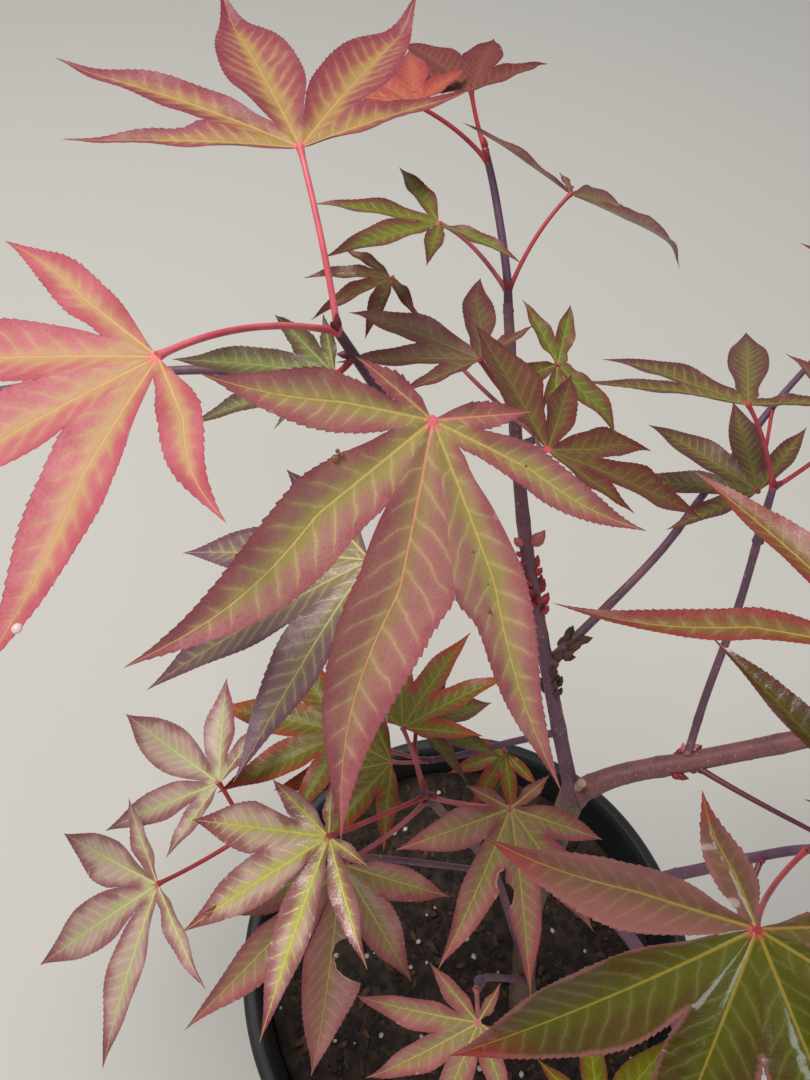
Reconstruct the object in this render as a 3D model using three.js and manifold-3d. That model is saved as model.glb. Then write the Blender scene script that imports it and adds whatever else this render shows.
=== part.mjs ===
// A young red japanese maple in a black nursery pot.
// Millimetres, +Z up. The origin is the centre of the pot's flat underside, and the side that
// is photographed faces -Y. The plant has a short leaning trunk that forks low, a few thin boughs,
// and palmate leaves held in opposite pairs on slim petioles.
import * as THREE from "three";
import { mergeVertices } from "three/addons/utils/BufferGeometryUtils.js";
import Module from "manifold-3d";

const wasm = await Module();
wasm.setup();

// Pot and soil
const POT_HEIGHT = 215;
const POT_RIM = 110;
const POT_MOUTH = 104;
const POT_FOOT = 88;
const POT_WALL = 1.8;
const POT_FLOOR = 3;
const RIM_DROP = 13;
const EDGE = 2;
const POT_SIDES = 28;
const DRAIN_HOLES = 8;
const DRAIN_WIDTH = 16;
const DRAIN_HEIGHT = 9;
const DRAIN_DEPTH = 14;
const SOIL_TOP = 190;
const SOIL_EDGE = 185;
const SOIL_CROWN = 56;
const GAP = 0.3;

// Blade of one leaf, as shares of its middle lobe's length
const BLADE_WIDTH = 0.122;
const TAIL_WIDTH = 0.02;
const TAIL_START = 0.88;
const BLADE_THICKNESS = 0.014;
const WIDEST = 0.46;
const SHOULDER = 0.76;
const PLAIN_STATION = 0.55;
const SINUS_DEEP = 0.13;
const SINUS_NEAR = 0.42;
const NEIGHBOUR_GAP = 0.97;
const BASE_SPREAD = 24;
const BASE_SHARE = 0.2;
const FOLD = 0.3;
const ARCH = 0.1;

// Lobes from the right-hand edge to the left: bearing off the middle lobe in degrees, length, bend and breadth
const SEVEN_LOBES = [[-120, 0.34], [-79, 0.68], [-38, 0.93], [0, 1], [38, 0.93], [79, 0.68], [120, 0.34]];
const FIVE_LOBES = [[-76, 0.68], [-38, 0.92], [0, 1], [38, 0.92], [76, 0.68]];

// Thickness of the stalks
const PETIOLE = 0.75;
const TWIG = 1.25;
const SIDE_TWIG = 1;
const TWIG_SIDES = 4;
const STEM_STEPS = 5;
const SIDE_TWIG_STEPS = 2;
const SINK = 2.2;
const SAG = 0.18;

// What a bough's clearance adds to its radius, so that its facets keep the gap too
const SKIN = 1.15 * GAP;

// Root flare at the trunk's foot, and how fast it fades upwards
const FLARE = 4.2;
const FLARE_FADE = 9;

// Room that grown foliage keeps about a point of a leaf and of a stalk, and how far it may reach
const LEAF_ROOM = 7.5;
const STALK_ROOM = 2;
const REACH = 105;
const LENS_CLEARANCE = 75;
const FRAME_MARGIN = 25;
const LOWEST_LEAF = 330;
const TRIES = 5;
const LIMB_SPOTS = 24;
const BLADE_SHARES = [0.3, 0.62, 0.94];

// How one of an opposite pair sets out from its node: shares ahead and to the side, and the spread of its turn
const SET_OUT_AHEAD = 0.55;
const SET_OUT_ASIDE = 0.85;
const TURN_SPREAD = 0.8;

const UP = new THREE.Vector3(0, 0, 1);

// The photograph's view: where its lens was, how it was turned, and its size in pixels
const LENS = new THREE.Vector3(-50, -58, 655);
const FOCAL = 811;
const FRAME_WIDTH = 810;
const FRAME_HEIGHT = 1080;
const PITCH = THREE.MathUtils.degToRad(56);
const ROLL = THREE.MathUtils.degToRad(5.24);
const AHEAD = new THREE.Vector3(0, Math.cos(PITCH), -Math.sin(PITCH));
const RIGHT = new THREE.Vector3(1, 0, 0).applyAxisAngle(AHEAD, -ROLL);
const ABOVE = new THREE.Vector3().crossVectors(RIGHT, AHEAD);

// Boughs in the order they branch: points as [x, y, z], radii at the two ends, and sides
const BOUGHS = {
  trunk: { points: [[32, -21, 178], [26, -6, 218], [21, 11, 262], [22, 40, 353]], radii: [5.6, 4.9], sides: 10 },
  right_limb: { points: [[22, 39, 351], [38, 46, 355], [62, 50, 366], [95, 54, 387], [122, 58, 404]], radii: [4.3, 3] },
  central_stem: { points: [[22, 38, 350], [7, 59, 390], [-12, 86, 445], [-20, 113, 472], [-26, 137, 496]], radii: [2.9, 1.5] },
  front_bough: { points: [[22, 24, 302], [27, 0, 358], [33, -17, 381], [42, -50, 401], [50, -84, 416]], radii: [2.4, 1.8] },
  front_right_shoot: { points: [[27, 0, 360], [37, 2, 388], [46, 2, 409], [51, 1, 427]], radii: [1.9, 1.6] },
  left_stem: { points: [[30, -8, 208], [14, 4, 262], [-8, 9, 350], [-37, 7, 436]], radii: [1.9, 1.3] },
  left_low_shoot: { points: [[-7, 9, 348], [-38, 2, 384], [-70, -2, 403]], radii: [1.1, 0.9] },
  low_middle_shoot: { points: [[29, -10, 212], [10, -16, 270], [-8, -24, 340], [-16, -30, 384]], radii: [1.5, 1.1] },
  upper_left_branch: { points: [[-4, 74, 420], [-28, 82, 462], [-46, 76, 496]], radii: [1.9, 1.5] },
  diagonal_branch: { points: [[3, 66, 404], [39, 104, 421], [55, 126, 429], [76, 154, 439]], radii: [1.6, 1.2] },
  right_shoot: { points: [[61, 50, 365], [61, 64, 390], [60, 80, 430], [58, 91, 456]], radii: [1.5, 1.2] },
  right_riser: { points: [[106, 56, 394], [140, 76, 450], [146, 104, 506]], radii: [2.3, 1.7] },
  right_front_bough: { points: [[118, 57, 401], [152, 26, 418], [166, -8, 440]], radii: [2.1, 1.6] },
  front_left_bough: { points: [[44, -62, 405], [22, -96, 420], [-24, -116, 430], [-70, -120, 442]], radii: [1.6, 1.3] },
  left_high_bough: {
    points: [[-41, 78, 487], [-55, 80, 501], [-72, 86, 505], [-101, 89, 506], [-136, 84, 503], [-170, 77, 499]],
    radii: [1.3, 1.1],
  },
};

// Masses whose leaves show in the photograph. A leaf's joint and tip are [across, down, depth], and
// node is the share along the mass's own stem where its petiole leaves.
const SEEN_MASSES = {
  upper_left_leaves: {
    look: "rose",
    stem: [[-45.5, 76.2, 494], [-57, 70, 520], [-67, 65, 544]],
    leaves: [
      { joint: [300, 148, 161], tip: [222, 10, 191], node: 1, by: [326, 250, 158], width: 1.2,
        lobes: [[-80, 0.71, 0, 0.46], [-45, 1, 0, 0.84], [0, 1, 0, 0.9], [42, 1, 0, 0.55], [73, 0.76, 0, 0.42]] },
      { joint: [158, 357, 130], tip: [-190, 560, 120], node: 1, by: [245, 312, 140], width: 0.95,
        lobes: [[-76, 0.74, -0.02, 0.72], [-37, 0.98, 0, 0.9], [0, 1], [37, 0.97, 0.03, 0.82], [81, 0.6, -0.05, 0.8]] },
      { joint: [432, 420, 142], tip: [340, 840, 133], node: 0.3, roll: 27,
        lobes: [[-110, 0.24], [-82, 0.56, 0.02, 1.02], [-38, 0.9, 0.04, 0.8], [0, 1, -0.05, 0.9],
          [35, 1, -0.03, 0.62], [81, 0.68, -0.03, 0.64], [111, 0.27]] },
      { joint: [370, 560, 182], tip: [145, 690, 186], node: 0.2, roll: -12, lobes: FIVE_LOBES },
      { joint: [335, 375, 172], tip: [172, 360, 190], node: 0.85, width: 0.72, roll: 12, plain: true,
        lobes: [[-60, 0.4], [-34, 0.6], [0, 1], [30, 0.8], [62, 0.4]] },
    ],
  },
  top_leaves: {
    look: "red",
    stem: [[-25.5, 135.5, 494], [-27, 142, 501], [-33, 160, 516], [-37, 168.5, 524]],
    leaves: [
      { joint: [439, 224, 232], tip: [329, 256, 214], node: 0.2, by: [472, 236, 236],
        width: 0.92, lobes: [[-105, 0.8], [-40, 0.95], [0, 1.05], [42, 0.6], [110, 0.72]] },
      { joint: [571, 194, 234], tip: [690, 258, 254], node: 0.2, by: [532, 232, 236], roll: 12,
        lobes: [[0, 1, 0.05, 1.7], [26, 0.66, 0.05, 1.2], [90, 0.3], [166, 0.78, -0.05, 0.8]] },
      { joint: [471, 91, 232], tip: [403, 42, 260], node: 1, lobes: FIVE_LOBES, width: 1.1, plain: true },
      { joint: [415, 105, 222], tip: [330, 60, 240], node: 0.9, by: [462, 128, 229], lobes: FIVE_LOBES, plain: true },
    ],
  },
  back_leaves: {
    look: "plum",
    stem: [[-18.5, 107, 467], [-15, 101, 478], [-15, 99, 487]],
    leaves: [
      { joint: [480, 360, 205], tip: [348, 310, 224], node: 1, width: 0.86, plain: true,
        lobes: [[-106, 0.42], [-57, 0.84, 0.03, 1.05], [0, 1, 0, 1.1], [33, 0.86], [68, 0.55]] },
      { joint: [391, 277, 240], tip: [310, 320, 232], node: 0.6, fold: 0.6, width: 0.8, lobes: FIVE_LOBES, plain: true },
      { joint: [557, 364, 222], tip: [617, 436, 222], node: 0.6, width: 1.1,
        lobes: [[-102, 0.8], [-52, 0.9], [0, 1, 0.05, 1.15], [122, 0.8], [166, 0.8]] },
      { joint: [547, 450, 196], tip: [702, 518, 210], node: 1,
        lobes: [[-20, 0.56], [0, 1, 0, 1.1], [24, 0.72, 0.05, 1.1], [78, 0.62, 0, 1.1], [128, 0.8, 0, 1.6]] },
    ],
  },
  right_leaves: {
    look: "plum",
    stem: [[58.3, 89.5, 453], [57.5, 94, 463], [57, 97, 470]],
    leaves: [
      { joint: [748, 405, 228], tip: [601, 360, 262], node: 1, by: [768, 440, 232], roll: -6, width: 0.85,
        lobes: [[-146, 0.5, 0, 1.2], [-58, 0.98, 0, 1.05], [0, 1, -0.03], [18, 0.98, 0.03, 0.7]] },
      { joint: [860, 425, 225], tip: [930, 380, 250], node: 1, lobes: FIVE_LOBES, plain: true },
    ],
  },
  back_right_leaves: {
    look: "bronze",
    stem: [[74, 151.5, 438], [83, 163, 444], [96, 178, 452]],
    leaves: [
      { joint: [758, 492, 268], tip: [648, 424, 300], node: 0.35, width: 0.9, roll: 10, lobes: FIVE_LOBES,
        plain: true },
      { joint: [880, 400, 262], tip: [960, 440, 250], node: 1, lobes: FIVE_LOBES, plain: true },
      { joint: [900, 300, 270], tip: [930, 220, 300], node: 1, lobes: FIVE_LOBES, plain: true },
    ],
  },
  front_right_leaves: {
    look: "olive",
    stem: [[50.5, 1.3, 425], [55, -1, 448], [62, -3, 462]],
    leaves: [
      { joint: [757, 928, 155], tip: [645, 1206, 172], node: 0.6, roll: -6, by: [757, 895, 178],
        lobes: [[-143, 0.42, 0.03], [-88, 0.76, 0.02, 1.05], [-40, 1.05, 0, 0.95], [0, 1], [38, 0.93],
          [79, 0.75], [120, 0.4]] },
      { joint: [900, 655, 170], tip: [691, 469, 203], node: 1, fold: 0.45, width: 0.66,
        lobes: [[-80, 0.8], [-38, 0.95], [0, 1], [48, 1.17, 0.04, 0.66], [85, 0.32]] },
      { joint: [886, 822, 200], tip: [710, 636, 224], node: 0.9, fold: 0.55, width: 0.62, plain: true,
        lobes: [[-76, 0.5], [-38, 0.6], [0, 1], [42, 0.35], [76, 0.3]] },
      { joint: [600, 1122, 188], tip: [676, 1034, 192], node: 0.2, by: [690, 1062, 196], plain: true,
        lobes: [[-110, 0.6], [-60, 0.8], [0, 1, 0, 1.3], [50, 0.9], [95, 0.7]] },
    ],
  },
  left_leaves: {
    look: "bronze",
    stem: [[-36.5, 7.1, 434], [-37.7, 6.7, 439.3], [-39, 6.5, 443]],
    leaves: [
      { joint: [329, 837, 186], tip: [182, 933, 190], node: 0.6, roll: -6, by: [385, 815, 203],
        lobes: [[-120, 0.3], [-69, 0.5], [-36, 0.92, 0, 1.2], [0, 1], [43, 1.02, 0, 0.84], [84, 0.68, 0, 0.8],
          [120, 0.3]] },
      { joint: [341, 864, 205], tip: [312, 1078, 203], node: 0.3, roll: 30, by: [392, 838, 214],
        lobes: [[-75, 0.7], [-44, 0.94], [0, 1, 0, 1.25], [38, 0.76], [73, 0.66]] },
      { joint: [403, 728, 232], tip: [471, 631, 250], node: 0.9, lobes: FIVE_LOBES, roll: 30, plain: true },
      { joint: [417, 722, 240], tip: [492, 703, 262], node: 0.9, lobes: FIVE_LOBES, plain: true },
      { joint: [510, 808, 205], tip: [530, 995, 195], node: 0.5, roll: 21, by: [456, 806, 211],
        lobes: [[-118, 0.34], [-80, 0.77, 0, 1.15], [-36, 0.95, 0, 0.97], [0, 1, 0, 0.9], [33, 0.9], [68, 0.68],
          [118, 0.34]] },
    ],
  },
  left_low_leaves: {
    look: "red",
    stem: [[-68, -1.8, 402.5], [-80, -2, 409], [-90, 0, 411]],
    leaves: [
      { joint: [158, 884, 222], tip: [41, 965, 237], node: 0.9, roll: 3,
        lobes: [[-90, 0.5], [-46, 0.79, 0, 1.25], [0, 1, 0, 1.05], [42, 0.98, 0, 0.92], [100, 0.6, 0, 0.8]] },
      { joint: [219, 783, 235], tip: [124, 713, 258], node: 0.9, roll: 14,
        lobes: [[-95, 0.5], [-54, 0.72, 0, 1.25], [0, 1, 0, 1.15], [51, 0.84, 0, 1.05], [90, 0.54]] },
    ],
  },
  inner_leaves: {
    look: "bronze",
    stem: [[12, 53, 376], [-6, 46, 380], [-24, 37, 388], [-36, 31, 396]],
    leaves: [
      { joint: [505, 752, 292], tip: [470, 812, 288], node: 0.4, lobes: FIVE_LOBES, plain: true },
      { joint: [392, 762, 252], tip: [272, 790, 256], node: 0.95, lobes: FIVE_LOBES, plain: true },
      { joint: [348, 733, 252], tip: [214, 706, 266], node: 1, lobes: FIVE_LOBES, plain: true },
    ],
  },
  low_middle_leaves: {
    look: "olive",
    stem: [[-15.7, -29.7, 382], [-17, -32, 389], [-18, -33, 393]],
    leaves: [
      { joint: [478, 1022, 205], tip: [365, 1080, 208], node: 1, roll: 30,
        lobes: [[-148, 0.36], [-82, 0.6], [-40, 0.98], [0, 1], [38, 0.92], [80, 0.7], [120, 0.34]] },
    ],
  },
};

// Masses beyond the photograph's edges, grown by a seeded rule along a stem, with the length of a leaf
const GROWN_MASSES = {
  right_end_leaves: {
    look: "bronze", seed: 11, leaf: 52,
    stem: [[120, 57.4, 402.7], [152, 64, 424], [184, 68, 440], [216, 70, 446]],
  },
  right_top_leaves: {
    look: "red", seed: 5, leaf: 54,
    stem: [[145.9, 103, 504], [148, 118, 530], [146, 134, 562], [132, 144, 590]],
  },
  right_front_leaves: {
    look: "rose", seed: 23, leaf: 52,
    stem: [[165.7, -7, 439.4], [172, -36, 456], [172, -68, 466], [164, -100, 470]],
  },
  front_leaves: {
    look: "olive", seed: 31, leaf: 50,
    stem: [[49.8, -83, 415.5], [58, -112, 434], [58, -140, 446], [50, -168, 450]],
  },
  front_left_leaves: {
    look: "plum", seed: 47, leaf: 50,
    stem: [[-68.5, -120, 441.7], [-96, -118, 452], [-124, -106, 458], [-150, -92, 458]],
  },
  left_high_leaves: {
    look: "rose", seed: 3, leaf: 52,
    stem: [[-168.1, 77.4, 499.2], [-196, 71, 507], [-218, 59, 511], [-238, 41, 511]],
  },
};

// Turns a place in the photograph, in pixels and with its depth, into a place in the model
function seen([across, down, depth]) {
  return LENS.clone()
    .addScaledVector(AHEAD, depth)
    .addScaledVector(RIGHT, (across - FRAME_WIDTH / 2) / FOCAL * depth)
    .addScaledVector(ABOVE, (FRAME_HEIGHT / 2 - down) / FOCAL * depth);
}

const place = ([x, y, z]) => new THREE.Vector3(x, y, z);

// Whether a point shows in the photograph
function inFrame(point) {
  const from = point.clone().sub(LENS);
  const depth = from.dot(AHEAD);
  if (depth <= 0) return false;
  const across = FRAME_WIDTH / 2 + FOCAL * from.dot(RIGHT) / depth;
  const down = FRAME_HEIGHT / 2 - FOCAL * from.dot(ABOVE) / depth;
  return across > -FRAME_MARGIN && across < FRAME_WIDTH + FRAME_MARGIN
    && down > -FRAME_MARGIN && down < FRAME_HEIGHT + FRAME_MARGIN;
}

// A repeatable number from 0 to 1
function chance(seed, count) {
  const value = Math.sin(seed * 12.9898 + count * 78.233) * 43758.5453;
  return value - Math.floor(value);
}

// Solids
function solidOf(geometry) {
  const bare = geometry.index ? geometry.toNonIndexed() : geometry.clone();
  bare.deleteAttribute("normal");
  bare.deleteAttribute("uv");
  const merged = mergeVertices(bare, 1e-4);
  return new wasm.Manifold(new wasm.Mesh({
    numProp: 3,
    vertProperties: new Float32Array(merged.attributes.position.array),
    triVerts: new Uint32Array(merged.index.array),
  }));
}

function geometryOf(solid) {
  const mesh = solid.getMesh();
  const geometry = new THREE.BufferGeometry();
  geometry.setAttribute("position", new THREE.BufferAttribute(mesh.vertProperties, 3));
  geometry.setIndex(new THREE.BufferAttribute(mesh.triVerts, 1));
  return geometry;
}

const joined = (solids) => solids.reduce((whole, solid) => whole.add(solid));

const largest = (solid) => solid.decompose().sort((a, b) => b.volume() - a.volume())[0];

// A tapering round limb with flat ends along a smooth curve
function limb(curve, radiusAt, sides, steps) {
  const frames = curve.computeFrenetFrames(steps, false);
  const position = [];
  const index = [];
  for (let i = 0; i <= steps; i += 1) {
    const centre = curve.getPoint(i / steps);
    const radius = radiusAt(i / steps);
    for (let j = 0; j < sides; j += 1) {
      const angle = 2 * Math.PI * j / sides;
      const point = centre.clone()
        .addScaledVector(frames.normals[i], radius * Math.cos(angle))
        .addScaledVector(frames.binormals[i], radius * Math.sin(angle));
      position.push(...point.toArray());
    }
  }
  for (let i = 0; i < steps; i += 1) {
    for (let j = 0; j < sides; j += 1) {
      const a = i * sides + j;
      const b = i * sides + (j + 1) % sides;
      index.push(a, b, b + sides, a, b + sides, a + sides);
    }
  }
  const last = steps * sides;
  for (let j = 1; j < sides - 1; j += 1) {
    index.push(0, j + 1, j, last, last + j, last + j + 1);
  }
  const geometry = new THREE.BufferGeometry();
  geometry.setAttribute("position", new THREE.Float32BufferAttribute(position, 3));
  geometry.setIndex(index);
  return solidOf(geometry);
}

const smooth = (points) => new THREE.CatmullRomCurve3(points, false, "centripetal");

// Half the width of a lobe at a share of its length, as a share of that length
function halfWidth(share, width = 1) {
  const body = Math.sin(Math.PI * Math.min(1, share / TAIL_START));
  return width * (BLADE_WIDTH * body + TAIL_WIDTH * 4 * share * (1 - share));
}

// How fast the line halfway between two lobes leaves the midrib of each
const slopeBetween = (one, other) => Math.tan(THREE.MathUtils.degToRad(Math.abs(one[0] - other[0]) / 2));

// The share of a lobe's length at which it parts from its neighbour
function partingShare(slope, width) {
  let share = SINUS_DEEP;
  while (share < SINUS_NEAR && halfWidth(share, width) > share * slope) share += 0.01;
  return share;
}

// How far a lobe's edge lies off its midrib, as a share of its length. Side is 1 to the left, -1 to
// the right and 0 on the midrib. The edge stays on its own side of the line halfway to its neighbour.
function edgeOf(lobes, number, side, share, width) {
  const lobe = lobes[number];
  const neighbour = lobes[number + side];
  const half = halfWidth(share, width * (lobe[3] ?? 1));
  if (side === 0 || !neighbour) return side * half;
  return side * Math.min(half, NEIGHBOUR_GAP * share * slopeBetween(lobe, neighbour));
}

// How far a curved lobe's midrib swings aside at a share of its length
const swing = (share, bend) => bend * Math.sin(Math.PI * Math.max(0, share - SINUS_NEAR) / (1 - SINUS_NEAR));

// The leaf's own axes: x along the middle lobe, z out of its upper face
function leafAxes({ joint, tip, roll = 0 }) {
  const x = tip.clone().sub(joint).normalize();
  const z = new THREE.Vector3(0, 0, 1).addScaledVector(x, -x.z).normalize()
    .applyAxisAngle(x, -THREE.MathUtils.degToRad(roll));
  return { x, y: new THREE.Vector3().crossVectors(z, x), z, length: joint.distanceTo(tip) };
}

// Turns a place on the flat blade into a place in the model, with the blade's fold and droop
function bladePoint(leaf, axes, bearing, along, aside, raise = 0) {
  const angle = THREE.MathUtils.degToRad(bearing);
  const x = along * Math.cos(angle) - aside * Math.sin(angle);
  const y = along * Math.sin(angle) + aside * Math.cos(angle);
  const far = Math.hypot(x, y) / axes.length;
  const arch = ARCH * far * (1 - far) * axes.length;
  const height = arch + (leaf.fold ?? FOLD) * Math.abs(aside) + raise;
  return leaf.joint.clone()
    .addScaledVector(axes.x, x)
    .addScaledVector(axes.y, y)
    .addScaledVector(axes.z, height);
}

// Leftwards across a lobe, in the plane of the blade
function acrossLobe(axes, bearing) {
  const angle = THREE.MathUtils.degToRad(bearing);
  return axes.x.clone().multiplyScalar(-Math.sin(angle)).addScaledVector(axes.y, Math.cos(angle));
}

// One leaf as a thin closed solid: thick at each midrib and sharp at its margin
function blade(leaf) {
  const axes = leafAxes(leaf);
  const width = leaf.width ?? 1;
  const half = BLADE_THICKNESS * axes.length / 2;
  const position = [];
  const index = [];
  const add = (point) => position.push(...point.toArray()) / 3 - 1;
  const lobes = leaf.lobes ?? SEVEN_LOBES;
  const middle = [1, -1].map((side) => add(bladePoint(leaf, axes, 0, 0, 0, side * half)));
  const margins = lobes.map(() => []);
  for (let i = 0; i <= lobes.length; i += 1) {
    const right = lobes[i - 1];
    const left = lobes[i];
    if (right && left) {
      const slope = slopeBetween(right, left);
      const shares = [right, left].map(([, reach, , breadth = 1]) => reach * partingShare(slope, width * breadth));
      const sinus = add(bladePoint(leaf, axes, (right[0] + left[0]) / 2, Math.min(...shares) * axes.length, 0));
      margins[i - 1].left = sinus;
      margins[i].right = sinus;
    } else {
      const [bearing, reach] = left ?? right;
      const out = left ? -BASE_SPREAD : BASE_SPREAD;
      const corner = add(bladePoint(leaf, axes, bearing + out, BASE_SHARE * reach * axes.length, 0));
      if (left) margins[i].right = corner;
      else margins[i - 1].left = corner;
    }
  }
  lobes.forEach(([bearing, reach, bend = 0], i) => {
    const length = reach * axes.length;
    const at = (share, side, raise) => {
      const aside = edgeOf(lobes, i, side, share, width) * length;
      const point = bladePoint(leaf, axes, bearing, share * length, aside, raise);
      return add(point.addScaledVector(acrossLobe(axes, bearing), swing(share, bend) * length));
    };
    const stations = leaf.plain ? [PLAIN_STATION] : [WIDEST, SHOULDER];
    const ribs = [1, -1].map((side) => stations.map((share) => at(share, 0, side * half * (1 - 0.5 * share))));
    const tip = at(1, 0, 0);
    [["left", 1], ["right", -1]].forEach(([name, side]) => {
      const edge = [margins[i][name], ...stations.map((share) => at(share, side, 0)), tip];
      [0, 1].forEach((under) => {
        const rib = [middle[under], ...ribs[under], tip];
        for (let k = 0; k < edge.length - 1; k += 1) {
          const lower = [rib[k], rib[k + 1], edge[k]];
          const upper = [rib[k + 1], edge[k + 1], edge[k]];
          const flip = (side > 0) === (under === 1);
          index.push(...(flip ? [lower[0], lower[2], lower[1]] : lower));
          if (rib[k + 1] !== edge[k + 1]) index.push(...(flip ? [upper[0], upper[2], upper[1]] : upper));
        }
      });
    });
  });
  index.push(middle[0], middle[1], margins[0].right);
  index.push(middle[1], middle[0], margins[lobes.length - 1].left);
  const geometry = new THREE.BufferGeometry();
  geometry.setAttribute("position", new THREE.Float32BufferAttribute(position, 3));
  geometry.setIndex(index);
  return solidOf(geometry);
}

// Three-sided stalk from one place to another, bowed by a third place
function stalk(from, by, to, steps) {
  return limb(new THREE.QuadraticBezierCurve3(from, by, to), () => PETIOLE, 3, steps);
}

// The place that a petiole's bow leans towards
function bowOf(leaf) {
  const sag = SAG * leaf.from.distanceTo(leaf.joint);
  return leaf.by ?? leaf.from.clone().lerp(leaf.joint, 0.6).addScaledVector(leafAxes(leaf).z, -sag);
}

// A leaf with its petiole, whose ends are sunk into the twig and the blade
function leafOnStalk(leaf) {
  const sunk = leaf.joint.clone().addScaledVector(leafAxes(leaf).x, SINK);
  return blade(leaf).add(stalk(leaf.from, bowOf(leaf), sunk, leaf.plain ? 2 : 3));
}

// Radius at a share along a limb, between those at its two ends
const tapering = ([first, last]) => (share) => first + (last - first) * share;

// The trunk's foot widens into its root flare
const flareOf = (name) => (share) => (name === "trunk" ? FLARE * Math.exp(-FLARE_FADE * share) : 0);

// The space about a bough that nothing else enters: its own shape, wider and longer by the gap
function clearance(curve, radiusAt, sides, steps) {
  const end = curve.getPoint(1);
  const ahead = curve.getTangent(1);
  const past = new THREE.LineCurve3(
    end.clone().addScaledVector(ahead, -2 * SKIN),
    end.clone().addScaledVector(ahead, SKIN),
  );
  const wider = (share) => radiusAt(share) + SKIN;
  return limb(curve, wider, sides, steps).add(limb(past, () => wider(1), sides, 1));
}

// Boughs, each cut clear of those it grows from, and the trunk cut flat just above the soil
const cutAt = SOIL_TOP + GAP;
const [foot] = BOUGHS.trunk.points;
const ground = new THREE.BoxGeometry(2 * POT_FOOT, 2 * POT_FOOT, cutAt).translate(foot[0], foot[1], cutAt / 2);
const boughs = {};
const limbs = {};
const keepOuts = [solidOf(ground)];
for (const [name, { points, radii, sides = 6 }] of Object.entries(BOUGHS)) {
  const curve = smooth(points.map(place));
  const steps = 3 * points.length;
  const taper = tapering(radii);
  const flare = flareOf(name);
  const radiusAt = (share) => taper(share) + flare(share);
  let solid = limb(curve, radiusAt, sides, steps);
  keepOuts.forEach((keepOut) => {
    solid = solid.subtract(keepOut);
  });
  boughs[name] = largest(solid);
  limbs[name] = { curve, radiusAt };
  keepOuts.push(clearance(curve, radiusAt, sides, steps));
}

// A mass: its own twigs, with the leaves they carry
function mass(twigs, leaves) {
  let solid = joined([
    ...twigs.map(({ curve, radius, steps }) => limb(curve, () => radius, TWIG_SIDES, steps)),
    ...leaves.map(leafOnStalk),
  ]);
  keepOuts.forEach((keepOut) => {
    solid = solid.subtract(keepOut);
  });
  return largest(solid);
}

// Points along a curve, from one share of it to another
const along = (curve, from, to, count) => Array.from(
  { length: count },
  (_, i) => curve.getPoint(from + (to - from) * i / (count - 1)),
);

// Points spread over a leaf's blade
function bladePoints(leaf) {
  const axes = leafAxes(leaf);
  const points = [leaf.joint];
  (leaf.lobes ?? SEVEN_LOBES).forEach(([bearing, reach]) => {
    BLADE_SHARES.forEach((share) => {
      points.push(bladePoint(leaf, axes, bearing, share * reach * axes.length, 0));
    });
  });
  return points;
}

const petiolePoints = (leaf) => along(new THREE.QuadraticBezierCurve3(leaf.from, bowOf(leaf), leaf.joint), 0.35, 0.85, 3);

// Where foliage already is, as points with the room they keep
const taken = [];
const claim = (points, room) => points.forEach((point) => taken.push({ point, room }));
const isFree = (points, room) => points.every((point) => taken.every(
  (other) => point.distanceTo(other.point) > room + other.room,
));

// Masses that show in the photograph
const masses = {};
Object.values(limbs).forEach(({ curve, radiusAt }) => {
  along(curve, 0, 1, LIMB_SPOTS).forEach((point, i) => {
    claim([point], radiusAt(i / (LIMB_SPOTS - 1)) + STALK_ROOM);
  });
});
for (const [name, { stem, leaves }] of Object.entries(SEEN_MASSES)) {
  const curve = smooth(stem.map(place));
  const placed = leaves.map((leaf) => ({
    ...leaf,
    joint: seen(leaf.joint),
    tip: seen(leaf.tip),
    from: curve.getPoint(leaf.node),
    by: leaf.by && seen(leaf.by),
  }));
  masses[name] = mass([{ curve, radius: TWIG, steps: STEM_STEPS }], placed);
  placed.forEach((leaf) => {
    claim(bladePoints(leaf), LEAF_ROOM);
    claim(petiolePoints(leaf), STALK_ROOM);
  });
}

// Masses beyond its edges. Each keeps to the space that lies nearer to its own stem than to the others'
const stems = Object.fromEntries(Object.entries(GROWN_MASSES).map(
  ([name, { stem }]) => [name, smooth(stem.map(place))],
));
const distanceTo = (curve, point) => Math.min(...along(curve, 0, 1, 9).map((spot) => spot.distanceTo(point)));

function isOwn(name, point) {
  const own = distanceTo(stems[name], point);
  return own < REACH && Object.values(stems).every((other) => own <= distanceTo(other, point));
}

const mayGrow = (name, points) => points.every((point) => isOwn(name, point) && !inFrame(point)
  && point.z > LOWEST_LEAF && point.distanceTo(LENS) > LENS_CLEARANCE);

// The way that one of an opposite pair sets out from its node: ahead and to the side, turned about the twig
function sideways(ahead, side, turn) {
  const level = new THREE.Vector3().crossVectors(ahead, UP).normalize();
  const lift = new THREE.Vector3().crossVectors(level, ahead);
  const out = level.multiplyScalar(side * Math.cos(turn)).addScaledVector(lift, side * Math.sin(turn));
  return ahead.clone().multiplyScalar(SET_OUT_AHEAD).addScaledVector(out, SET_OUT_ASIDE).normalize();
}

// One leaf of a pair: level for the most part, facing up, its tip a little lower than its joint
function newLeaf(from, way, size, dice) {
  const joint = from.clone().addScaledVector(way, size * (0.5 + 0.3 * dice()));
  const level = new THREE.Vector3(way.x, way.y, 0).normalize();
  level.applyAxisAngle(UP, 0.9 * (dice() - 0.5)).setZ(-0.15 - 0.3 * dice()).normalize();
  const tip = joint.clone().addScaledVector(level, size * (0.85 + 0.25 * dice()));
  return { from, joint, tip, roll: 40 * (dice() - 0.5), lobes: FIVE_LOBES, plain: true };
}

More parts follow.
